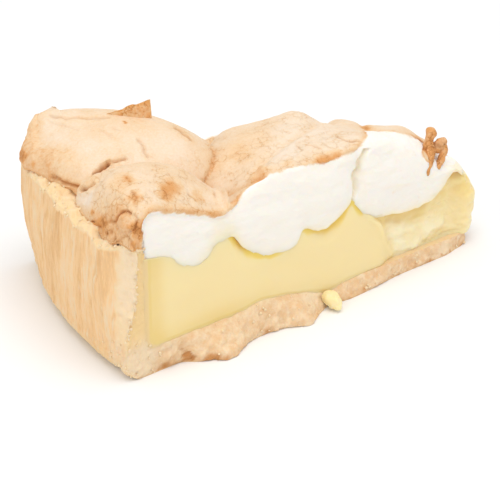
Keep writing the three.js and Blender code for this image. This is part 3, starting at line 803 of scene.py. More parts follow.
def fill_curd(sizes, colours):
    """Curd: height of a point = slow noise on the smooth slab, folds on the torn end, and a dip under
    each spoonful."""
    share = stations(CURD_RUN, sizes)
    across, up = strip_axes(steps(CURD_FACE, sizes), CURD_COLUMNS)
    point, s, y, z = curd_point(share, across, up)
    seed = sizes.seed + 40
    on_cut = (up < 1) * np.ones_like(s)
    front = on_cut * (across < 0)
    edge_s = curve(sorted((height, at) for at, height in TORN_EDGE), z) + 0.7 * noise(point, 3.0, seed)
    torn = smooth(edge_s + 0.8, edge_s - 0.8, s) * on_cut
    fold = layered_noise(point, (7.0, 7.0, 3.2), seed + 1, 3)
    height = 0.2 * layered_noise(point, (18.0, 18.0, 9.0), seed + 4, 2)
    on_face = stacked(s, z) + 0.8 * noise(point, 2.0, seed + 7)[..., None]
    swell = front * sum(tall * spot(on_face, place, wide) for place, wide, tall in TORN_SWELLS)
    height = height + torn * (fold + 0.25 * layered_noise(point, 1.6, seed + 6, 2) - 0.5 + swell)
    # the ledge beside the torn edge is raised and carries a painted highlight
    ledge = bump(s - edge_s, -2.6, 1.6) * smooth(17, 12, z)
    height = height + 0.5 * front * torn * ledge
    height = height + 0.4 * front * (1 - torn) * bump(s - edge_s, 1.4, 1.2)
    floor = floor_top(s)
    inset = np.hypot(np.maximum(s - SLAB_CORNER, 0), np.maximum(floor + SLAB_ROUNDING - z, 0))
    inset = inset + 0.12 * noise(point, 2.5, seed + 9)
    height = height * smooth(0, NOSE_FADE, share) * smooth(3.2, 2.0, inset)
    strip = point + normals_of(point) * height[..., None]

    under = joint(s, y) - z + 0.35 * noise(point, 2.0, seed + 8)
    hollow = sum(tall * bump(s, at, wide) for at, wide, tall in CRESCENTS)
    # painted shadow in the hollows under the meringue's lobes
    deep = smooth(1.25, 0.35, under / np.maximum(hollow, 0.05)) * smooth(0.3, 1.2, hollow) * front
    outlined = bump(inset, 2.45, 0.3) * front * smooth(30, 45, s)
    side = smooth(-4.0, 1.5, s - SLAB_CORNER + 0.4 * fold) * front
    bottom = smooth(7.0, 0.5, z - floor) * front * smooth(50, 85, s)
    # painted shade on the torn curd just under the meringue
    under_foam = smooth(mix(6.5, 12, smooth(22, 8, s)), 2.0, under) * torn
    edges = 0.65 * side + 0.5 * bottom + 0.45 * outlined
    values = {
        # edge tone of the slab, with painted shade under the meringue and in the hollows of the torn folds
        "rich_and_shade": unit(edges + 0.45 * under_foam + 0.3 * smooth(0.0, -0.8, fold) * torn),
        # painted shadow under the lobes, just under the joint and under the meringue edge on the torn end
        "deep": unit(deep + 0.3 * smooth(1.0, 0.1, under) * torn + 0.25 * under_foam),
        "torn": torn,
        # painted highlights on the fold tops, the ledge and the raised folds of the torn end
        "pale": unit(torn * (0.35 * smooth(-0.1, 0.5, fold) + ledge + 1.1 * swell)),
        "soaked": smooth(2.7, 3.1, inset) * front * smooth(90, 98, s),
    }
    run, width = lining_axes(60, 20)
    run = run * CURD_LINING
    lining = curd_point(unit(run), width, unit((run - 1) / (CURD_LINING - 1)))[0]
    hidden = {"soaked": 1.0}
    closed_body("curd_slab", strip, lining, values, hidden, curd_material(colours), "curd", "curd")


def drip_curd(sizes, colours):
    """The drip of curd that ran over the foot: a tube that is widest near its middle."""
    point = tube(DRIP_PATH, DRIP_RADII, 40, 56, 0.25, sizes.seed + 60)
    values = {"pale": 0.3, "torn": 0.4}
    closed_piece("curd_drip_soft", point, values, curd_material(colours), "curd", "curd_drip")


# ---------------------------------------------------------------- meringue

EDGE_SHARE = 0.93
FRONT_BORDER = (  # how far behind the top edge of the front cut the skin begins
    (4, 3.0), (9, 4.0), (14, 4.6), (17.5, 5.6), (20, 6.2), (24, 6.4), (27, 7.6), (28.6, 10.5),
    (31, 12.5), (34, 10.0), (36.5, 4.6), (38.6, 2.0), (41, 0.4), (45, -0.4), (52, -0.2), (58, 0.5),
    (66, 0.8), (72, 0.6), (77, 0.2), (80, -0.6), (88, -1.0), (96, -1.2), (103, -1.4), (105.5, -2.6),
    (107.5, -6.0), (110, -9.0),
)
FRONT_BAND = (  # how brown the skin is along that border
    (4, 0.1), (12, 0.4), (18, 0.5), (24, 0.35), (31, 0.4), (38, 0.3), (44, 0.38), (52, 0.4), (57, 0.15),
    (66, 0.1), (76, 0.3), (80, 0.55), (90, 0.42), (100, 0.45), (108, 0.4),
)
BACK_BORDER = ((4, 2.0), (20, 1.0), (45, 0.2), (70, 0.8), (90, -0.4), (110, -2.0))
SKIN_AT_WALL = 105.6  # distance from the nose beyond which the cut has skin too
THIN_SKIN = (27, 13)  # middle and half length of the stretch whose skin lets the foam show
ROUGH_CORNER = ((103, -24), 24)  # middle in plan and radius of the most crumpled skin
CREVICES = (  # line through (s, y, z), half width, depth, darkness: scorched skin and painted shade inside the crack
    (((112.8, 7.7, 36.8), (110.6, 1.8, 36.9), (109.3, -0.2, 36.8)), 0.4, 0.5, 0.9),
    (((111.4, -22.3, 38.6), (110.3, -22.8, 38.3), (110.1, -24.8, 39.3), (110.2, -27.7, 41.2),
      (109.7, -29.0, 43.2), (108.9, -29.3, 43.8), (108.0, -30.8, 44.2)), 0.3, 0.9, 0.9),
    (((112.0, -17.2, 36.0), (111.8, -20.0, 35.8), (111.4, -22.7, 35.8), (111.0, -25.6, 37.2),
      (111.0, -28.9, 39.3)), 0.24, 0.6, 0.7),
    (((111.2, -26.0, 35.2), (110.2, -30.6, 37.4), (109.6, -31.5, 38.5), (108.6, -32.1, 37.6),
      (108.2, -33.0, 35.8)), 0.26, 0.5, 0.5),
    (((103.7, -18.7, 46.9), (104.2, -20.2, 47.1), (104.0, -21.6, 47.1)), 0.17, 0.25, 0.7),
    (((105.4, -26.0, 46.6), (105.4, -28.2, 46.0), (106.7, -29.8, 45.6)), 0.17, 0.25, 0.7),
    (((99.6, -28.4, 44.4), (98.0, -27.0, 44.3), (97.2, -26.0, 44.3)), 0.15, 0.15, 0.4),
    (((90.7, -23.6, 41.8), (89.2, -24.9, 40.3)), 0.16, 0.2, 0.5),
    (((84.3, -17.2, 40.2), (83.4, -18.4, 39.6)), 0.16, 0.2, 0.5),
    (((82.9, -20.0, 39.0), (82.8, -22.1, 38.4)), 0.17, 0.2, 0.5),
    (((68.6, -17.0, 41.0), (67.8, -14.6, 39.8), (69.2, -14.0, 38.9), (70.7, -15.6, 38.4),
      (71.6, -18.4, 39.0)), 0.26, 0.6, 0.6),
    (((55.5, -10.0, 41.2), (55.8, -12.9, 41.4)), 0.18, 0.25, 0.35),
    (((53.4, -10.4, 41.3), (51.1, -13.3, 41.2)), 0.18, 0.25, 0.3),
    (((44.6, -8.5, 41.1), (44.3, -11.6, 41.3), (42.4, -13.2, 41.1), (40.6, -13.4, 40.9)), 0.2, 0.3, 0.5),
    (((107.2, 24.3, 44.5), (103.3, 20.6, 45.0), (99.0, 17.8, 45.4), (94.5, 15.9, 45.6)), 0.3, 0.35, 0.25),
    (((107.7, 22.9, 43.8), (105.6, 18.6, 44.2), (103.5, 14.4, 44.5)), 0.3, 0.25, 0.06),
    (((99.1, 10.9, 45.1), (98.0, 7.1, 44.9)), 0.25, 0.2, 0.12),
    (((96.0, 10.6, 45.5), (94.7, 8.0, 45.2)), 0.25, 0.2, 0.12),
    (((80.5, 8.1, 43.2), (79.2, 6.6, 42.5), (78.4, 4.8, 41.8), (78.2, 3.4, 41.2)), 0.32, 0.5, 0.5),
    (((92.0, 3.7, 44.1), (91.7, 1.3, 43.0), (91.5, -1.2, 41.6)), 0.3, 0.4, 0.25),
    (((110.8, -6.6, 39.4), (110.3, -7.4, 40.3), (109.0, -8.0, 41.9), (105.1, -1.6, 39.8), (103.4, -0.7, 40.9),
      (101.6, -0.5, 41.5)), 0.42, 1.3, 0.95),
    (((101.6, -0.5, 41.5), (99.0, -0.6, 41.8), (96.9, -0.4, 42.1)), 0.3, 0.7, 0.4),
)
SPOTS = (  # place, radius, brownness
    ((95.4, -24.2, 44.2), 2.5, 0.52),
    ((87.3, -22.7, 40.4), 1.7, 0.26),
    ((92.4, 11.7, 45.6), 0.42, 1.0),
    ((70.1, -18.6, 40.8), 2.1, 0.25),
    ((67.6, -2.3, 38.5), 2.6, 0.12),
    ((29.9, 4.7, 35.0), 1.3, 0.32),
    ((28.3, 4.9, 34.9), 0.9, 0.25),
    ((30.7, -1.8, 36.8), 0.9, 0.25),
    ((34.5, -6.5, 39.6), 1.3, 0.3),
    ((50.2, -0.1, 40.2), 7.0, -0.16),
    ((43.0, -8.5, 41.0), 5.0, -0.12),
    ((62.0, -15.0, 41.8), 4.0, -0.1),
    ((93.0, 12.0, 45.0), 9.0, 0.07),
    ((105.8, -28.4, 46.2), 1.3, 0.3),
    ((105.5, -19.8, 46.6), 2.6, 0.14),
    ((103.8, -19.8, 47.0), 1.5, 0.25),
    ((111.7, -16.7, 38.4), 0.75, 0.5),
    ((112.2, -11.2, 39.2), 2.6, -0.25),
    ((111.0, -19.5, 37.0), 1.6, 0.35),
    ((107.0, -32.4, 40.2), 1.7, 0.4),
    ((116.2, 21.5, 37.0), 1.5, 0.4),
    ((52.8, -17.6, 40.2), 1.8, 0.3),
    ((48.4, -16.8, 40.2), 1.8, 0.3),
    ((61.4, -17.0, 41.5), 1.3, 0.2),
    ((19.2, -6.2, 32.8), 2.0, 0.4),
    ((17.2, -5.6, 31.0), 1.5, 0.6),
    ((16.2, -7.2, 29.2), 1.2, 0.55),
)
SCORCHED = ((110.2, -27.4, 40.6), 5.0, 0.16)
ROSETTE = ((109.0, -31.0, 41.8), 2.4, 0.9)  # place, radius and height of the knob at the near corner
HORN_FOOT = (17.4, -7.4, 30.4)  # skin round the scorched peaks
DRAWN_ALONG = np.array([-0.3665, 0.7988, -0.4772])  # direction along which the marks reach into the skin
DRAWN_REACH = 0.8
ROLL = ((71.1, -15.9), (67.1, -13.0), (62.4, -9.7), (57.1, -6.0), (52.4, -3.1), (47.2, 0.2), (42.3, 5.5))
CLEFT = ((38.6, 41.0), (40.6, 36.6), (41.3, 34.0), (42.1, 31.5), (42.2, 28.5), (43.0, 25.5))
DENTS = (  # place in plan, radius, depth; swellings have a depth below zero
    ((109.5, -11.0), 3.6, 2.2),
    ((46.8, 10.8), 4.5, -1.3),
    ((20.5, 1.0), 3.5, -0.9),
    ((111.0, -20.5), 3.0, 0.7),
    ((112.5, -12.8), 2.4, -0.8),
    ((109.0, 26.8), 2.4, -1.3),
    ((104.8, 27.4), 2.3, 0.9),
)


def meringue_edge(across):
    """How far inside the wall's outside the edge of the meringue lies on the rim."""
    strip = 3.2 * bump(across, -0.02, 0.13) - 1.2 * bump(across, RIM_DIP, 0.15)
    back = BACK_RETURN * smooth(0.7, 1, across) - BACK_OVERHANG * smooth(0.2, 0.6, across)
    return EDGE_INSIDE + strip + back


def meringue_point(share, across, up):
    """Point of the meringue: up goes from the joint, 0, to the skin, 1. At the wall the joint climbs the
    inside of the pastry and steps out over the rim, and the skin rounds off to meet it."""
    edge = meringue_edge(across)
    body = unit(share / EDGE_SHARE)
    fold = unit((share - EDGE_SHARE) / (1 - EDGE_SHARE))
    turn = (1 - fold) * np.pi / 2
    inside = WALL_THICKNESS - LAP
    at_rounding = edge + EDGE_LEAN + EDGE_ROUNDING
    top_inward = edge + EDGE_LEAN * (1 - fold) + EDGE_ROUNDING * (1 - np.cos(turn))
    top_s, top_width = outline(body, MERINGUE_SET_BACK + MERINGUE_SLOPE, corner_s(at_rounding))
    skin_s, skin_y = across_slice(top_s, top_width, across)
    top_s = np.where(fold > 0, corner_s(top_inward), top_s)
    top_width = np.where(fold > 0, APEX_WIDTH + FACE_SLOPE * top_s, top_width)
    on_rim = rim_height(across) + RIM_CLEARANCE
    top_z = mix(on_rim + EDGE_STEP, skin_height(skin_s, skin_y), np.sin(turn))

    low_inward = mix(inside, edge, unit(2 * fold - 1))
    low_s, low_width = outline(body, MERINGUE_SET_BACK, corner_s(inside))
    joint_s, joint_y = across_slice(low_s, low_width, across)
    low_s = np.where(fold > 0, corner_s(low_inward), low_s)
    low_width = np.where(fold > 0, APEX_WIDTH + FACE_SLOPE * low_s, low_width)
    low_z = mix(joint(joint_s, joint_y), on_rim, unit(2 * fold))

    leaned = 1 - np.cos(up * np.pi / 2)
    s, width = mix(low_s, top_s, leaned), mix(low_width, top_width, leaned)
    s, y = across_slice(s, width, across)
    z = mix(low_z, top_z, up)
    swell = np.sin(np.pi * up)
    creases = sum(deep * bump(s, at, wide) for at, wide, deep in CREASES)
    lobes = LOBE_SWELL * (1 - 0.6 * smooth(78, 86, s)) - creases
    out_back = 0.8 + 0.7 * np.sin(s * 0.21)
    point = pushed(share, s, y, z, width, across, lobes * swell * smooth(4, 10, s), out_back * swell)
    return point, s, y, z


def drawn(place):
    """Places pressed together along the direction in which the marks are drawn."""
    place = np.asarray(place, float)
    return place - DRAWN_REACH * (place @ DRAWN_ALONG)[..., None] * DRAWN_ALONG


def skin_border(point, s, face_steps):
    """Distance from the border of the skin, measured along the strip: positive on the skin."""
    run = np.cumsum(np.linalg.norm(np.diff(point, axis=1, prepend=point[:, :1]), axis=-1), axis=1)
    from_front = run - run[:, face_steps, None] - curve(FRONT_BORDER, s)
    from_back = run[:, -face_steps - 1, None] - run - curve(BACK_BORDER, s)
    return np.minimum(from_front, from_back), from_front


def marks_in_skin(shaken, blotted, crumple, skin):
    """Height, browning and darkness of the marks in the skin: each crevice is a bell across its line with a
    low lip beside it, darkened as scorched skin and painted shade inside the crack, each spot a bell, and the
    knob at the near corner a flat dome in a ring."""
    height, toast_and_shade, scorch_and_crack_shade = (np.zeros_like(skin) for _ in range(3))
    for line, wide, deep, dark in CREVICES:
        away = from_line(shaken, drawn(line))
        bell = bump(away, 0, wide) * skin
        height = height - deep * bell + 0.3 * deep * bump(away, 2.2 * wide, wide) * skin
        # crack darkness and the browning round it: scorched skin and painted shade inside the crack
        scorch_and_crack_shade = np.maximum(scorch_and_crack_shade, dark * bell)
        toast_and_shade = toast_and_shade + 0.2 * dark * bump(away, 0, 2.6 * wide)
    for centre, wide, brown in SPOTS:
        toast_and_shade = toast_and_shade + brown * smooth(0.1, 0.9, spot(blotted, drawn(centre), 1.15 * wide))
    centre, wide, brown = SCORCHED
    toast_and_shade = toast_and_shade + brown * smooth(0.1, 0.8, spot(shaken, drawn(centre), wide)) * (1 + 0.8 * crumple)
    centre, wide, tall = ROSETTE
    away = np.linalg.norm(shaken - drawn(centre) + 0.5 * crumple[..., None], axis=-1)
    knob = np.maximum(1 - (away / wide) ** 2, 0) ** 0.6
    ring = bump(away, wide, 0.26) * skin
    height = height + (tall + 0.6 * crumple) * knob * skin - 0.5 * ring
    toast_and_shade = toast_and_shade + 0.1 * knob * (1 + crumple)
    return height, toast_and_shade, scorch_and_crack_shade, ring


def foam_relief(point, seed):
    """Soft lumps and fine level fibres of the cut foam."""
    lumps = 0.8 * layered_noise(point, (7.0, 7.0, 4.0), seed + 40, 3)
    lumps = lumps + 0.25 * layered_noise(point, 2.0, seed + 44, 2)
    return lumps + 0.35 * layered_noise(point, (5.0, 5.0, 1.1), seed + 64, 2)


def spoon_meringue(sizes, colours):
    """Meringue: height of a point = soft noise on the foam; wrinkles, seams, dents, crevices and a lip
    at its border on the skin."""
    share = stations(MERINGUE_RUN, sizes)
    face_steps = steps(MERINGUE_FACE, sizes)
    across, up = strip_axes(face_steps, steps(2 * CORNER_Y, sizes))
    point, s, y, z = meringue_point(share, across, up)
    seed = sizes.seed + 80
    on_cut = (up < 1) * np.ones_like(s)
    on_top = 1 - on_cut
    front = on_cut * (across < 0)
    from_edge = 1 - np.abs(across)
    point = softened(point, 0.8 * smooth(0.8, 1.0, up) * unit(1 - 8 * from_edge) * np.ones_like(s), 6)
    point = softened(point, smooth(0.45, 0.8, up) * unit(3 - 6 * from_edge) * smooth(46, 36, s), 60)

    # places shaken so that lines and spots come out ragged
    plan = stacked(s, y)
    place = stacked(s, y, z)
    shake = stacked(*(layered_noise(point, 2.4, seed + 4 * k, 3) for k in (1, 2, 3)))
    shaken = drawn(place + 0.6 * shake)
    blotted = drawn(place + 1.1 * shake)

    # skin, from its ragged border on
    border, from_front = skin_border(point, s, face_steps)
    border = np.maximum(border, 9 * spot(shaken, drawn(HORN_FOOT), 2.8) - 5)
    border = np.maximum(border, 1.5 * np.tanh(s - SKIN_AT_WALL + 0.8 * shake[..., 0]))
    ragged = border + 0.7 * layered_noise(point, 4.5, seed, 3) + 0.3 * noise(point, 1.1, seed + 3)
    ragged = ragged * (1 - 0.72 * bump(s, *THIN_SKIN) * smooth(8.0, 4.0, y))
    skin = smooth(-0.35, 0.35, ragged)

    rough = smooth(0.35, 0.8, spot(plan, *ROUGH_CORNER))
    rough = np.maximum(rough, 0.8 * smooth(84, 72, s) * smooth(30, 40, s)) * skin
    wild = smooth(0.25, 0.7, spot(shaken, drawn(SCORCHED[0]), 7.5)) * skin
    seam = seams(s, y) * on_top * skin
    wrinkle = 0.55 * layered_noise(point, (8.0, 4.0, 5.0), seed + 20, 4)
    wrinkle = wrinkle + 0.45 * layered_noise(point, 15.0, seed + 24, 2)
    crumple = layered_noise(point, 1.8, seed + 28, 4)
    marks, toast_and_shade, scorch_and_crack_shade, ring = marks_in_skin(shaken, blotted, crumple, skin)
    # painted shade in the groove round the knob
    scorch_and_crack_shade = np.maximum(scorch_and_crack_shade, 0.6 * ring * smooth(0.0, 0.5, noise(point, 2.5, seed + 60)))
    # the seams between spoonfuls are browned as painted shade in their creases
    toast_and_shade = toast_and_shade + 0.13 + 0.12 * layered_noise(point, 14.0, seed + 16, 3) + 0.2 * seam + 0.07 * rough
    height = skin * sizes.skin_wrinkle / MM * (wrinkle + (0.6 * rough + 0.9 * wild) * crumple)
    height = height + marks - 0.7 * seam
    height = height - on_top * sum(deep * spot(plan, centre, wide) for centre, wide, deep in DENTS)
    behind_roll = from_line(plan, ROLL)
    height = height - 0.9 * bump(behind_roll, 0, 1.5) * on_top * smooth(36, 44, s)
    toast_and_shade = toast_and_shade + 0.1 * bump(behind_roll, 0, 1.0) * smooth(40, 46, s)

    # border of the skin: a browned band and a lip
    band = curve(FRONT_BAND, s) * (from_front < 12)
    band_noise = 0.7 + 0.6 * layered_noise(point, 4.0, seed + 32, 2)
    toast_and_shade = toast_and_shade + band * band_noise * bump(border, 0.4, 1.3)
    toast_and_shade = toast_and_shade + 0.3 * front * smooth(104.5, 107.5, s) * (1 + crumple)
    lip = 0.4 * bump(border, 0.9, 0.8) - 0.35 * bump(border, -0.7, 0.6)
    height = height + lip * smooth(76, 82, s)

    # the flank over the rim
    flank = smooth(EDGE_SHARE - 0.03, EDGE_SHARE + 0.02, share) * on_top
    back_flank = flank * smooth(0.05, 0.35, across)
    # the lowest strip of the flank, along the rim, is browned further as painted shade in the undercut
    toast_and_shade = toast_and_shade + 0.13 * back_flank + 0.06 * flank + 0.12 * smooth(0.96, 1.0, share) * on_top
    pore = unit(0.3 + 0.1 * back_flank + 0.7 * rough)
    grit = layered_noise(point, 0.9, seed + 68, 2)
    height = height + 0.22 * back_flank * grit
    toast_and_shade = toast_and_shade + 0.35 * back_flank * np.maximum(grit, 0)
    pits = np.maximum(layered_noise(point, 1.3, seed + 36, 2) - 0.2, 0)
    height = height - (0.3 + 0.2 * wild) * pits * pore * skin

    # foam, tinted above the curd
    height = height + (1 - skin) * sizes.foam_swell / MM * foam_relief(point, seed)
    on_face = stacked(s + 0.5 * noise(point, 2.0, seed + 48), z)
    cleft = bump(from_line(on_face, CLEFT), 0, 0.7) * front
    height = height - 1.3 * cleft
    reach = 0.8 + 3.0 * bump(s, 84, 5) + 2.5 * smooth(20, 8, s)
    reach = reach + 0.5 * layered_noise(point, 4.0, seed + 52, 2)
    tint = np.exp(-np.maximum(z - joint(s, y), 0) / np.maximum(reach, 0.3)) * on_cut
    cloud = np.maximum(layered_noise(point, (7.0, 7.0, 1.5), seed + 56, 2) - 0.45, 0)

    strip = point + normals_of(point) * (height * smooth(0, NOSE_FADE, share))[..., None]
    values = {
        "skin": ragged,
        "toast_and_shade": unit(toast_and_shade),
        "crevice": unit(scorch_and_crack_shade),
        "pore": pore,
        "tint": unit(0.85 * tint + 0.45 * cleft + 0.4 * cloud),
    }
    lining = meringue_point(*lining_axes(70, 24), 0.0)[0]
    # the lining shows only in the shaded gap over the rim and is coloured as browned skin there: painted
    # shade
    hidden = {"skin": 1.0, "toast_and_shade": 0.6}
    material = meringue_material(colours)
    closed_body("meringue_top", strip, lining, values, hidden, material, "meringue", "meringue")


FLAKE_FOOT = ((95.2, 18.6, 44.2), (92.2, 16.0, 44.2), (88.6, 13.6, 43.9), (84.6, 12.8, 42.6))
FLAKE_CREST = ((95.0, 18.6, 45.2), (91.6, 16.8, 47.0), (88.0, 15.0, 48.7), (84.6, 13.7, 49.5))
FLAKE_BOW = np.array([0.35, -0.9, 0.0])
FLAKE_TATTER = np.array([-0.25, 0.0, 0.55])
FLAKE_THICKNESS = np.array([0.6, 0.8, 0.0])


def curl_flake(sizes, colours):
    """The flake that curls up from the first spoonful: a sail between a foot line and a crest line,
    bowed by a half wave, whose thickness closes at its rim."""
    run = np.linspace(0, 1, 90)[:, None, None]
    turn = np.linspace(0, 2 * np.pi, 97)[None, :, None]
    rise = (1 - np.cos(turn)) / 2
    arch = np.sin(np.pi * run)
    foot, crest = (along_path(path, run) for path in (FLAKE_FOOT, FLAKE_CREST))
    point = mix(foot, crest, rise) + FLAKE_BOW * arch * rise
    ragged = layered_noise(point, 2.2, sizes.seed + 120, 3)[..., None]
    point = point + FLAKE_TATTER * ragged * rise * arch**0.3
    crumple = layered_noise(point, 1.6, sizes.seed + 124, 3)
    point = point + FLAKE_THICKNESS * (0.65 + 0.55 * crumple[..., None]) * arch**0.4 * np.sin(turn)
    shade = 0.5 + 0.4 * crumple + 0.2 * smooth(0.8, 1.0, rise[..., 0])
    values = {"skin": 1.0, "pore": 1.0, "toast_and_shade": np.clip(shade, 0.2, 0.9)}
    values["crevice"] = np.clip(-2.2 * crumple - 0.9, 0, 0.6)
    closed_piece("meringue_flake", to_frame(point), values, meringue_material(colours), "meringue")


HORNS = (  # path of the middle, radii
    (((17.0, -6.3, 28.8), (16.4, -5.8, 31.2), (15.9, -5.3, 33.3), (15.3, -5.0, 34.9), (14.7, -4.9, 36.0)),
     (1.6, 1.5, 1.2, 1.35, 0.9)),
    (((19.2, -9.8, 25.2), (18.5, -9.1, 27.4), (17.2, -7.9, 29.8), (15.9, -6.8, 31.8)), (1.0, 1.15, 1.2, 1.0)),
    (((15.2, -6.6, 29.8), (14.1, -6.6, 31.4), (13.0, -6.8, 32.6), (12.2, -7.1, 31.6)), (1.4, 1.4, 1.15, 0.7)),
    (((12.7, -7.0, 32.2), (12.8, -7.4, 30.2), (13.9, -8.0, 28.2), (15.6, -8.9, 26.0)), (0.9, 1.0, 1.05, 0.9)),
)


def raise_horns(sizes, colours):
    """The scorched peaks near the nose: tapered tubes with ragged radii."""
    for number, (path, radius) in enumerate(HORNS):
        point = tube(path, radius, 60, 36, 0.35, sizes.seed + 140 + number)
        blotch = layered_noise(point, 1.8, sizes.seed + 150 + number, 3)
        values = {"skin": 1.0, "pore": 1.0, "toast_and_shade": np.clip(0.66 + 0.45 * blotch, 0.35, 1)}
        values["crevice"] = np.clip(-1.8 * blotch - 0.5, 0, 0.7)
        closed_piece(f"meringue_horn_{number + 1}", point, values, meringue_material(colours), "meringue")


# ---------------------------------------------------------------- materials


def node(tree, kind, inputs=None, **settings):
    """Adds a node, sets its properties, and links or fills its sockets by name or number."""
    made = tree.nodes.new(kind)
    for key, value in settings.items():
        setattr(made, key, value)
    for key, value in (inputs or {}).items():
        socket = made.inputs[key]
        if isinstance(value, bpy.types.NodeSocket):
            tree.links.new(value, socket)
        else:
            socket.default_value = value
    return made


def new_material(name):
    """A material with an empty node tree, or the material of that name and no tree."""
    material = bpy.data.materials.get(name)
    if material:
        return material, None
    material = bpy.data.materials.new(name)
    material.use_nodes = True
    material.node_tree.nodes.clear()
    return material, material.node_tree


def value_of(tree, key):
    return node(tree, "ShaderNodeAttribute", attribute_name=key).outputs["Fac"]


def rgba(shade):
    return (*shade, 1.0)


def blend_colour(share, a, b):
    """Colour a where share is 0 and b where it is 1."""
    a, b = (value if isinstance(value, bpy.types.NodeSocket) else rgba(value) for value in (a, b))
    return node(share.id_data, "ShaderNodeMix", {0: share, 6: a, 7: b}, data_type="RGBA").outputs[2]


def object_place(tree, stretch=(1.0, 1.0, 1.0)):
    """Object coordinates divided by stretch, which stretches what is drawn on them."""
    place = node(tree, "ShaderNodeTexCoord").outputs["Object"]
    scale = tuple(1 / factor for factor in stretch)
    return node(tree, "ShaderNodeVectorMath", {0: place, 1: scale}, operation="MULTIPLY").outputs[0]


def grain(tree, size, detail=4.0, roughness=0.55, stretch=(1.0, 1.0, 1.0)):
    """Noise from 0 to 1 whose lumps are about size mm across."""
    inputs = {"Vector": object_place(tree, stretch), "Scale": 1 / (size * MM)}
    inputs |= {"Detail": detail, "Roughness": roughness}
    return node(tree, "ShaderNodeTexNoise", inputs).outputs["Fac"]


def holes(tree, size, reach):
    """1 at the middle of each of the pores scattered size mm apart, and 0 beyond reach of it."""
    inputs = {"Vector": object_place(tree), "Scale": 1 / (size * MM)}
    return between(node(tree, "ShaderNodeTexVoronoi", inputs).outputs["Distance"], reach, 0.0)


def hairlines(tree, size, reach):
    """1 on a net of ragged lines whose meshes are about size mm across."""
    place = object_place(tree)
    inputs = {"Vector": place, "Scale": 1 / (0.5 * size * MM), "Detail": 3.0}
    shake = node(tree, "ShaderNodeTexNoise", inputs).outputs["Color"]
    inputs = {0: shake, 1: (0.9 * size * MM,) * 3, 2: place}
    moved = node(tree, "ShaderNodeVectorMath", inputs, operation="MULTIPLY_ADD").outputs[0]
    inputs = {"Vector": moved, "Scale": 1 / (size * MM)}
    net = node(tree, "ShaderNodeTexVoronoi", inputs, feature="DISTANCE_TO_EDGE")
    return between(net.outputs["Distance"], reach, 0.0)


def between(value, low, high):
    """Rises smoothly from 0 where value is low to 1 where it is high."""
    inputs = {"Value": value, "From Min": low, "From Max": high}
    made = node(value.id_data, "ShaderNodeMapRange", inputs, interpolation_type="SMOOTHSTEP")
    return made.outputs["Result"]


def scaled(value, factor, offset=0.0):
    inputs = {0: value, 1: factor, 2: offset}
    return node(value.id_data, "ShaderNodeMath", inputs, operation="MULTIPLY_ADD").outputs[0]


def times(a, b):
    return node(a.id_data, "ShaderNodeMath", {0: a, 1: b}, operation="MULTIPLY").outputs[0]


def plus(a, b):
    return node(a.id_data, "ShaderNodeMath", {0: a, 1: b}, operation="ADD").outputs[0]


def ramp(share, *stops):
    """Colour that runs through the stops, each a position and a colour."""
    made = node(share.id_data, "ShaderNodeValToRGB", {"Fac": share})
    while len(made.color_ramp.elements) < len(stops):
        made.color_ramp.elements.new(0.5)
    for element, (position, shade) in zip(made.color_ramp.elements, stops):
        element.position = position
        element.color = rgba(shade)
    return made.outputs["Color"]


def finish_material(tree, base, height, depth, sockets):
    """Principled surface with a relief of the given depth in millimetres."""
    raised = node(tree, "ShaderNodeBump", {"Height": height, "Distance": depth * MM, "Strength": 1.0})
    inputs = {"Base Color": base, "Normal": raised.outputs[0], **sockets}
    shader = node(tree, "ShaderNodeBsdfPrincipled", inputs)
    node(tree, "ShaderNodeOutputMaterial", {"Surface": shader.outputs[0]})


def meringue_material(colours):
    """White foam, and skin that runs from pale through blush and toasted brown to scorched, which also stands
    for painted shade in its seams and cracks, along the rim and in the gap over it.
    """
    material, tree = new_material("toasted_meringue")
    if tree is None:
        return material
    skin = between(plus(value_of(tree, "skin"), scaled(grain(tree, 1.6), 1.4, -0.7)), -0.4, 0.4)
    pore = value_of(tree, "pore")
    dots = times(holes(tree, 0.8, 0.32), between(grain(tree, 3.0, 2.0), 0.42, 0.6))
    lines = times(hairlines(tree, 2.6, 0.04), between(grain(tree, 5.0, 2.0), 0.4, 0.56))
    marks = plus(times(dots, pore), times(lines, pore))
    fine = grain(tree, 0.6, 4.0, 0.65)
    mottle = plus(scaled(grain(tree, 5.0), 0.3, -0.15), scaled(fine, 0.4, -0.2))
    # the browning value also holds painted shade in the seams, along the rim and in the gap over the rim
    toast_and_shade = plus(plus(value_of(tree, "toast_and_shade"), mottle), scaled(marks, 0.3))
    stops = (0.0, colours.skin), (0.3, colours.blush), (0.68, colours.toast_and_shade), (1.0, colours.scorch_and_crack_shade)
    # the darkest colour fills the cracks: scorched skin and painted shade
    baked = blend_colour(value_of(tree, "crevice"), ramp(toast_and_shade, *stops), colours.scorch_and_crack_shade)
    foam = blend_colour(value_of(tree, "tint"), colours.foam, colours.foam_tint)
    base = blend_colour(skin, foam, baked)
    coarse = scaled(times(grain(tree, 1.6, 3.0), pore), 1.6)
    height = plus(times(fine, scaled(skin, 0.45, 0.55)), times(coarse, scaled(skin, 0.6, 0.4)))
    height = plus(height, scaled(times(marks, skin), -0.5))
    sockets = {
        "Roughness": 0.72,
        "Subsurface Weight": scaled(skin, -0.35, 0.5),
        "Subsurface Radius": (1.0, 0.75, 0.5),
        "Subsurface Scale": 0.002,
        "Specular IOR Level": 0.25,
    }
    finish_material(tree, base, height, 0.16, sockets)
    return material


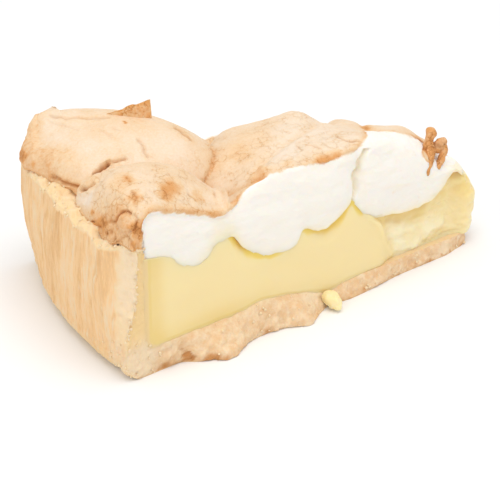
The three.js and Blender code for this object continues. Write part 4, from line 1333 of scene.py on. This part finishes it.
def curd_material(colours):
    """Set lemon curd: pale yellow on the cut and richer at its edges, with painted shade under the meringue
    and in the hollows, and painted highlights on the raised folds of the torn end.
    """
    material, tree = new_material("lemon_curd")
    if tree is None:
        return material
    cloud = grain(tree, 18.0, 2.0, 0.5, (1.0, 1.0, 0.5))
    rich_and_shade = between(plus(value_of(tree, "rich_and_shade"), scaled(cloud, 0.6, -0.25)), 0.0, 1.0)
    base = blend_colour(rich_and_shade, colours.curd, colours.curd_rich_and_shade)
    # painted highlights on the torn folds
    base = blend_colour(value_of(tree, "pale"), base, colours.curd_highlight_and_pale)
    # painted shadow under the meringue
    base = blend_colour(value_of(tree, "deep"), base, colours.curd_shadow)
    base = blend_colour(value_of(tree, "soaked"), base, colours.pastry_moist)
    torn = value_of(tree, "torn")
    height = plus(grain(tree, 3.0, 3.0, 0.5), times(scaled(torn, 1.2), grain(tree, 1.6, 3.0)))
    sockets = {
        "Roughness": plus(scaled(torn, -0.22, 0.45), scaled(cloud, 0.12)),
        "Subsurface Weight": 0.4,
        "Subsurface Radius": (1.0, 0.8, 0.35),
        "Subsurface Scale": 0.003,
        "IOR": 1.4,
    }
    finish_material(tree, base, height, 0.05, sockets)
    return material


def pastry_material(colours):
    """Baked pastry: fibrous tan outside, pale where it broke, moist tan on the cut."""
    material, tree = new_material("baked_pastry")
    if tree is None:
        return material
    wall = value_of(tree, "wall")
    fibre = grain(tree, 0.55, 4.0, 0.75, (1.0, 1.0, 8.0))
    sand = grain(tree, 0.9, 4.0, 0.65)
    crumb = grain(tree, 1.3, 5.0, 0.65)
    streak = plus(value_of(tree, "streak"), scaled(fibre, 1.5, -0.75))
    stops = (0.1, colours.pastry_pale), (0.5, colours.pastry), (1.0, colours.pastry_toast)
    fleck = between(plus(value_of(tree, "fleck"), scaled(fibre, 1.2, -0.6)), 0.1, 0.9)
    outside = blend_colour(fleck, ramp(streak, *stops), colours.pastry_pale)
    patchy = between(plus(scaled(crumb, 0.5), scaled(grain(tree, 4.0), 0.5)), 0.40, 0.66)
    inside = blend_colour(patchy, colours.pastry_toast, colours.pastry_pale)
    inside = blend_colour(value_of(tree, "low"), colours.pastry_moist, inside)
    base = blend_colour(wall, inside, outside)
    pale = times(value_of(tree, "pale"), between(sand, 0.2, 0.45))
    base = blend_colour(pale, base, colours.pastry_pale)
    brown = plus(value_of(tree, "brown"), scaled(sand, 0.3, -0.2))
    brown = plus(brown, scaled(value_of(tree, "split"), 0.5))
    base = blend_colour(between(brown, 0.05, 1.0), base, colours.pastry_brown)
    height = plus(scaled(times(wall, fibre), 1.2), times(sand, scaled(wall, -0.6, 1.0)))
    sockets = {
        "Roughness": 0.8,
        "Subsurface Weight": 0.15,
        "Subsurface Radius": (1.0, 0.6, 0.3),
        "Subsurface Scale": 0.0015,
        "Specular IOR Level": 0.25,
    }
    finish_material(tree, base, height, 0.2, sockets)
    return material


# ---------------------------------------------------------------- stage

CAMERA_DISTANCE = 520.0
CAMERA_AZIMUTH = np.radians(-24.645)
CAMERA_ELEVATION = np.radians(28.5)
CAMERA_TARGET = (-14.409, -18.079, 20.0)
CAMERA_LENS = 153.876
SENSOR_WIDTH = 36.0
KEY_LIGHT = ((0.03, -0.22, 0.95), 0.8)  # place and width of a light, in metres as all that follow
FILL_LIGHT = ((-0.7, -0.3, 0.45), 0.6)
LIT_PLACE = Vector((0, 0, 0.02))
FLOOR_REACH = 3.0


def place_camera():
    """Camera that looks down on the front cut, from a little towards the wall."""
    data = bpy.data.cameras.new("camera")
    data.lens = CAMERA_LENS
    data.sensor_width = SENSOR_WIDTH
    data.clip_start = 0.01
    data.clip_end = 20.0
    camera = bpy.data.objects.new("camera", data)
    bpy.context.scene.collection.objects.link(camera)
    level = np.cos(CAMERA_ELEVATION)
    along_x = -np.sin(CAMERA_AZIMUTH) * level
    along_y = np.cos(CAMERA_AZIMUTH) * level
    look = Vector((along_x, along_y, -np.sin(CAMERA_ELEVATION)))
    camera.location = Vector(CAMERA_TARGET) * MM - look * CAMERA_DISTANCE * MM
    camera.rotation_mode = "QUATERNION"
    camera.rotation_quaternion = look.to_track_quat("-Z", "Y")
    bpy.context.scene.camera = camera


def soft_light(name, place, size, watts):
    """Square area light that looks at the slice."""
    data = bpy.data.lights.new(name, "AREA")
    data.size = size
    data.energy = watts
    light = bpy.data.objects.new(name, data)
    bpy.context.scene.collection.objects.link(light)
    light.location = place
    light.rotation_mode = "QUATERNION"
    light.rotation_quaternion = (LIT_PLACE - Vector(place)).to_track_quat("-Z", "Y")


def lay_floor(whiteness):
    """Matt square under the slice."""
    mesh = bpy.data.meshes.new("floor")
    corners = [(x * FLOOR_REACH, y * FLOOR_REACH, 0) for x, y in ((-1, -1), (1, -1), (1, 1), (-1, 1))]
    mesh.from_pydata(corners, [], [(0, 1, 2, 3)])
    floor = bpy.data.objects.new("floor", mesh)
    bpy.context.scene.collection.objects.link(floor)
    material, tree = new_material("white_ground")
    if tree:
        shader = node(tree, "ShaderNodeBsdfDiffuse", {"Color": rgba((whiteness,) * 3)})
        node(tree, "ShaderNodeOutputMaterial", {"Surface": shader.outputs[0]})
    mesh.materials.append(material)


def set_stage(stage):
    """Plain display of colours, even light from all round, two soft lights, the floor and the camera."""
    scene = bpy.context.scene
    scene.view_settings.view_transform = "Standard"
    scene.view_settings.look = "None"
    scene.world = bpy.data.worlds.new("white_room")
    scene.world.use_nodes = True
    background = scene.world.node_tree.nodes["Background"]
    background.inputs["Color"].default_value = (1, 1, 1, 1)
    background.inputs["Strength"].default_value = stage.sky
    soft_light("key", *KEY_LIGHT, stage.key)
    soft_light("fill", *FILL_LIGHT, stage.fill)
    lay_floor(stage.ground)
    place_camera()


# ---------------------------------------------------------------- operators


class PIE_OT_crust(bpy.types.Operator):
    """Bake the pastry wall and base"""

    bl_idname = "pie.crust"
    bl_label = "Bake crust"
    bl_options = {"REGISTER", "UNDO"}

    def execute(self, context):
        scene = context.scene
        bake_crust(scene.pie_sizes, scene.pie_colours)
        return {"FINISHED"}


class PIE_OT_curd(bpy.types.Operator):
    """Fill in the lemon curd and its drip"""

    bl_idname = "pie.curd"
    bl_label = "Fill curd"
    bl_options = {"REGISTER", "UNDO"}

    def execute(self, context):
        scene = context.scene
        fill_curd(scene.pie_sizes, scene.pie_colours)
        drip_curd(scene.pie_sizes, scene.pie_colours)
        return {"FINISHED"}


class PIE_OT_meringue(bpy.types.Operator):
    """Spoon on the meringue and brown it"""

    bl_idname = "pie.meringue"
    bl_label = "Spoon meringue"
    bl_options = {"REGISTER", "UNDO"}

    def execute(self, context):
        scene = context.scene
        spoon_meringue(scene.pie_sizes, scene.pie_colours)
        curl_flake(scene.pie_sizes, scene.pie_colours)
        raise_horns(scene.pie_sizes, scene.pie_colours)
        return {"FINISHED"}


class PIE_OT_stage(bpy.types.Operator):
    """Set the floor, the light and the camera"""

    bl_idname = "pie.stage"
    bl_label = "Set stage"
    bl_options = {"REGISTER", "UNDO"}

    def execute(self, context):
        set_stage(context.scene.pie_stage)
        return {"FINISHED"}


class PIE_PT_slice(bpy.types.Panel):
    """Lists the steps of building the slice"""

    bl_idname = "PIE_PT_slice"
    bl_label = "Pie Slice"
    bl_space_type = "VIEW_3D"
    bl_region_type = "UI"
    bl_category = "Pie Slice"

    def draw(self, context):
        for operator in OPERATORS:
            self.layout.operator(operator.bl_idname)
        for group in GROUPS:
            settings = getattr(context.scene, group)
            column = self.layout.column()
            for key in settings.__annotations__:
                column.prop(settings, key)


OPERATORS = (PIE_OT_stage, PIE_OT_crust, PIE_OT_curd, PIE_OT_meringue)
GROUPS = {"pie_sizes": PieSizes, "pie_colours": PieColours, "pie_stage": PieStage}
CLASSES = (*GROUPS.values(), *OPERATORS, PIE_PT_slice)


def register():
    for kind in CLASSES:
        bpy.utils.register_class(kind)
    for key, kind in GROUPS.items():
        setattr(bpy.types.Scene, key, PointerProperty(type=kind))


def unregister():
    for key in GROUPS:
        delattr(bpy.types.Scene, key)
    for kind in reversed(CLASSES):
        bpy.utils.unregister_class(kind)


def main():
    register()
    bpy.ops.pie.stage()
    bpy.ops.pie.crust()
    bpy.ops.pie.curd()
    bpy.ops.pie.meringue()


if __name__ == "__main__":
    main()
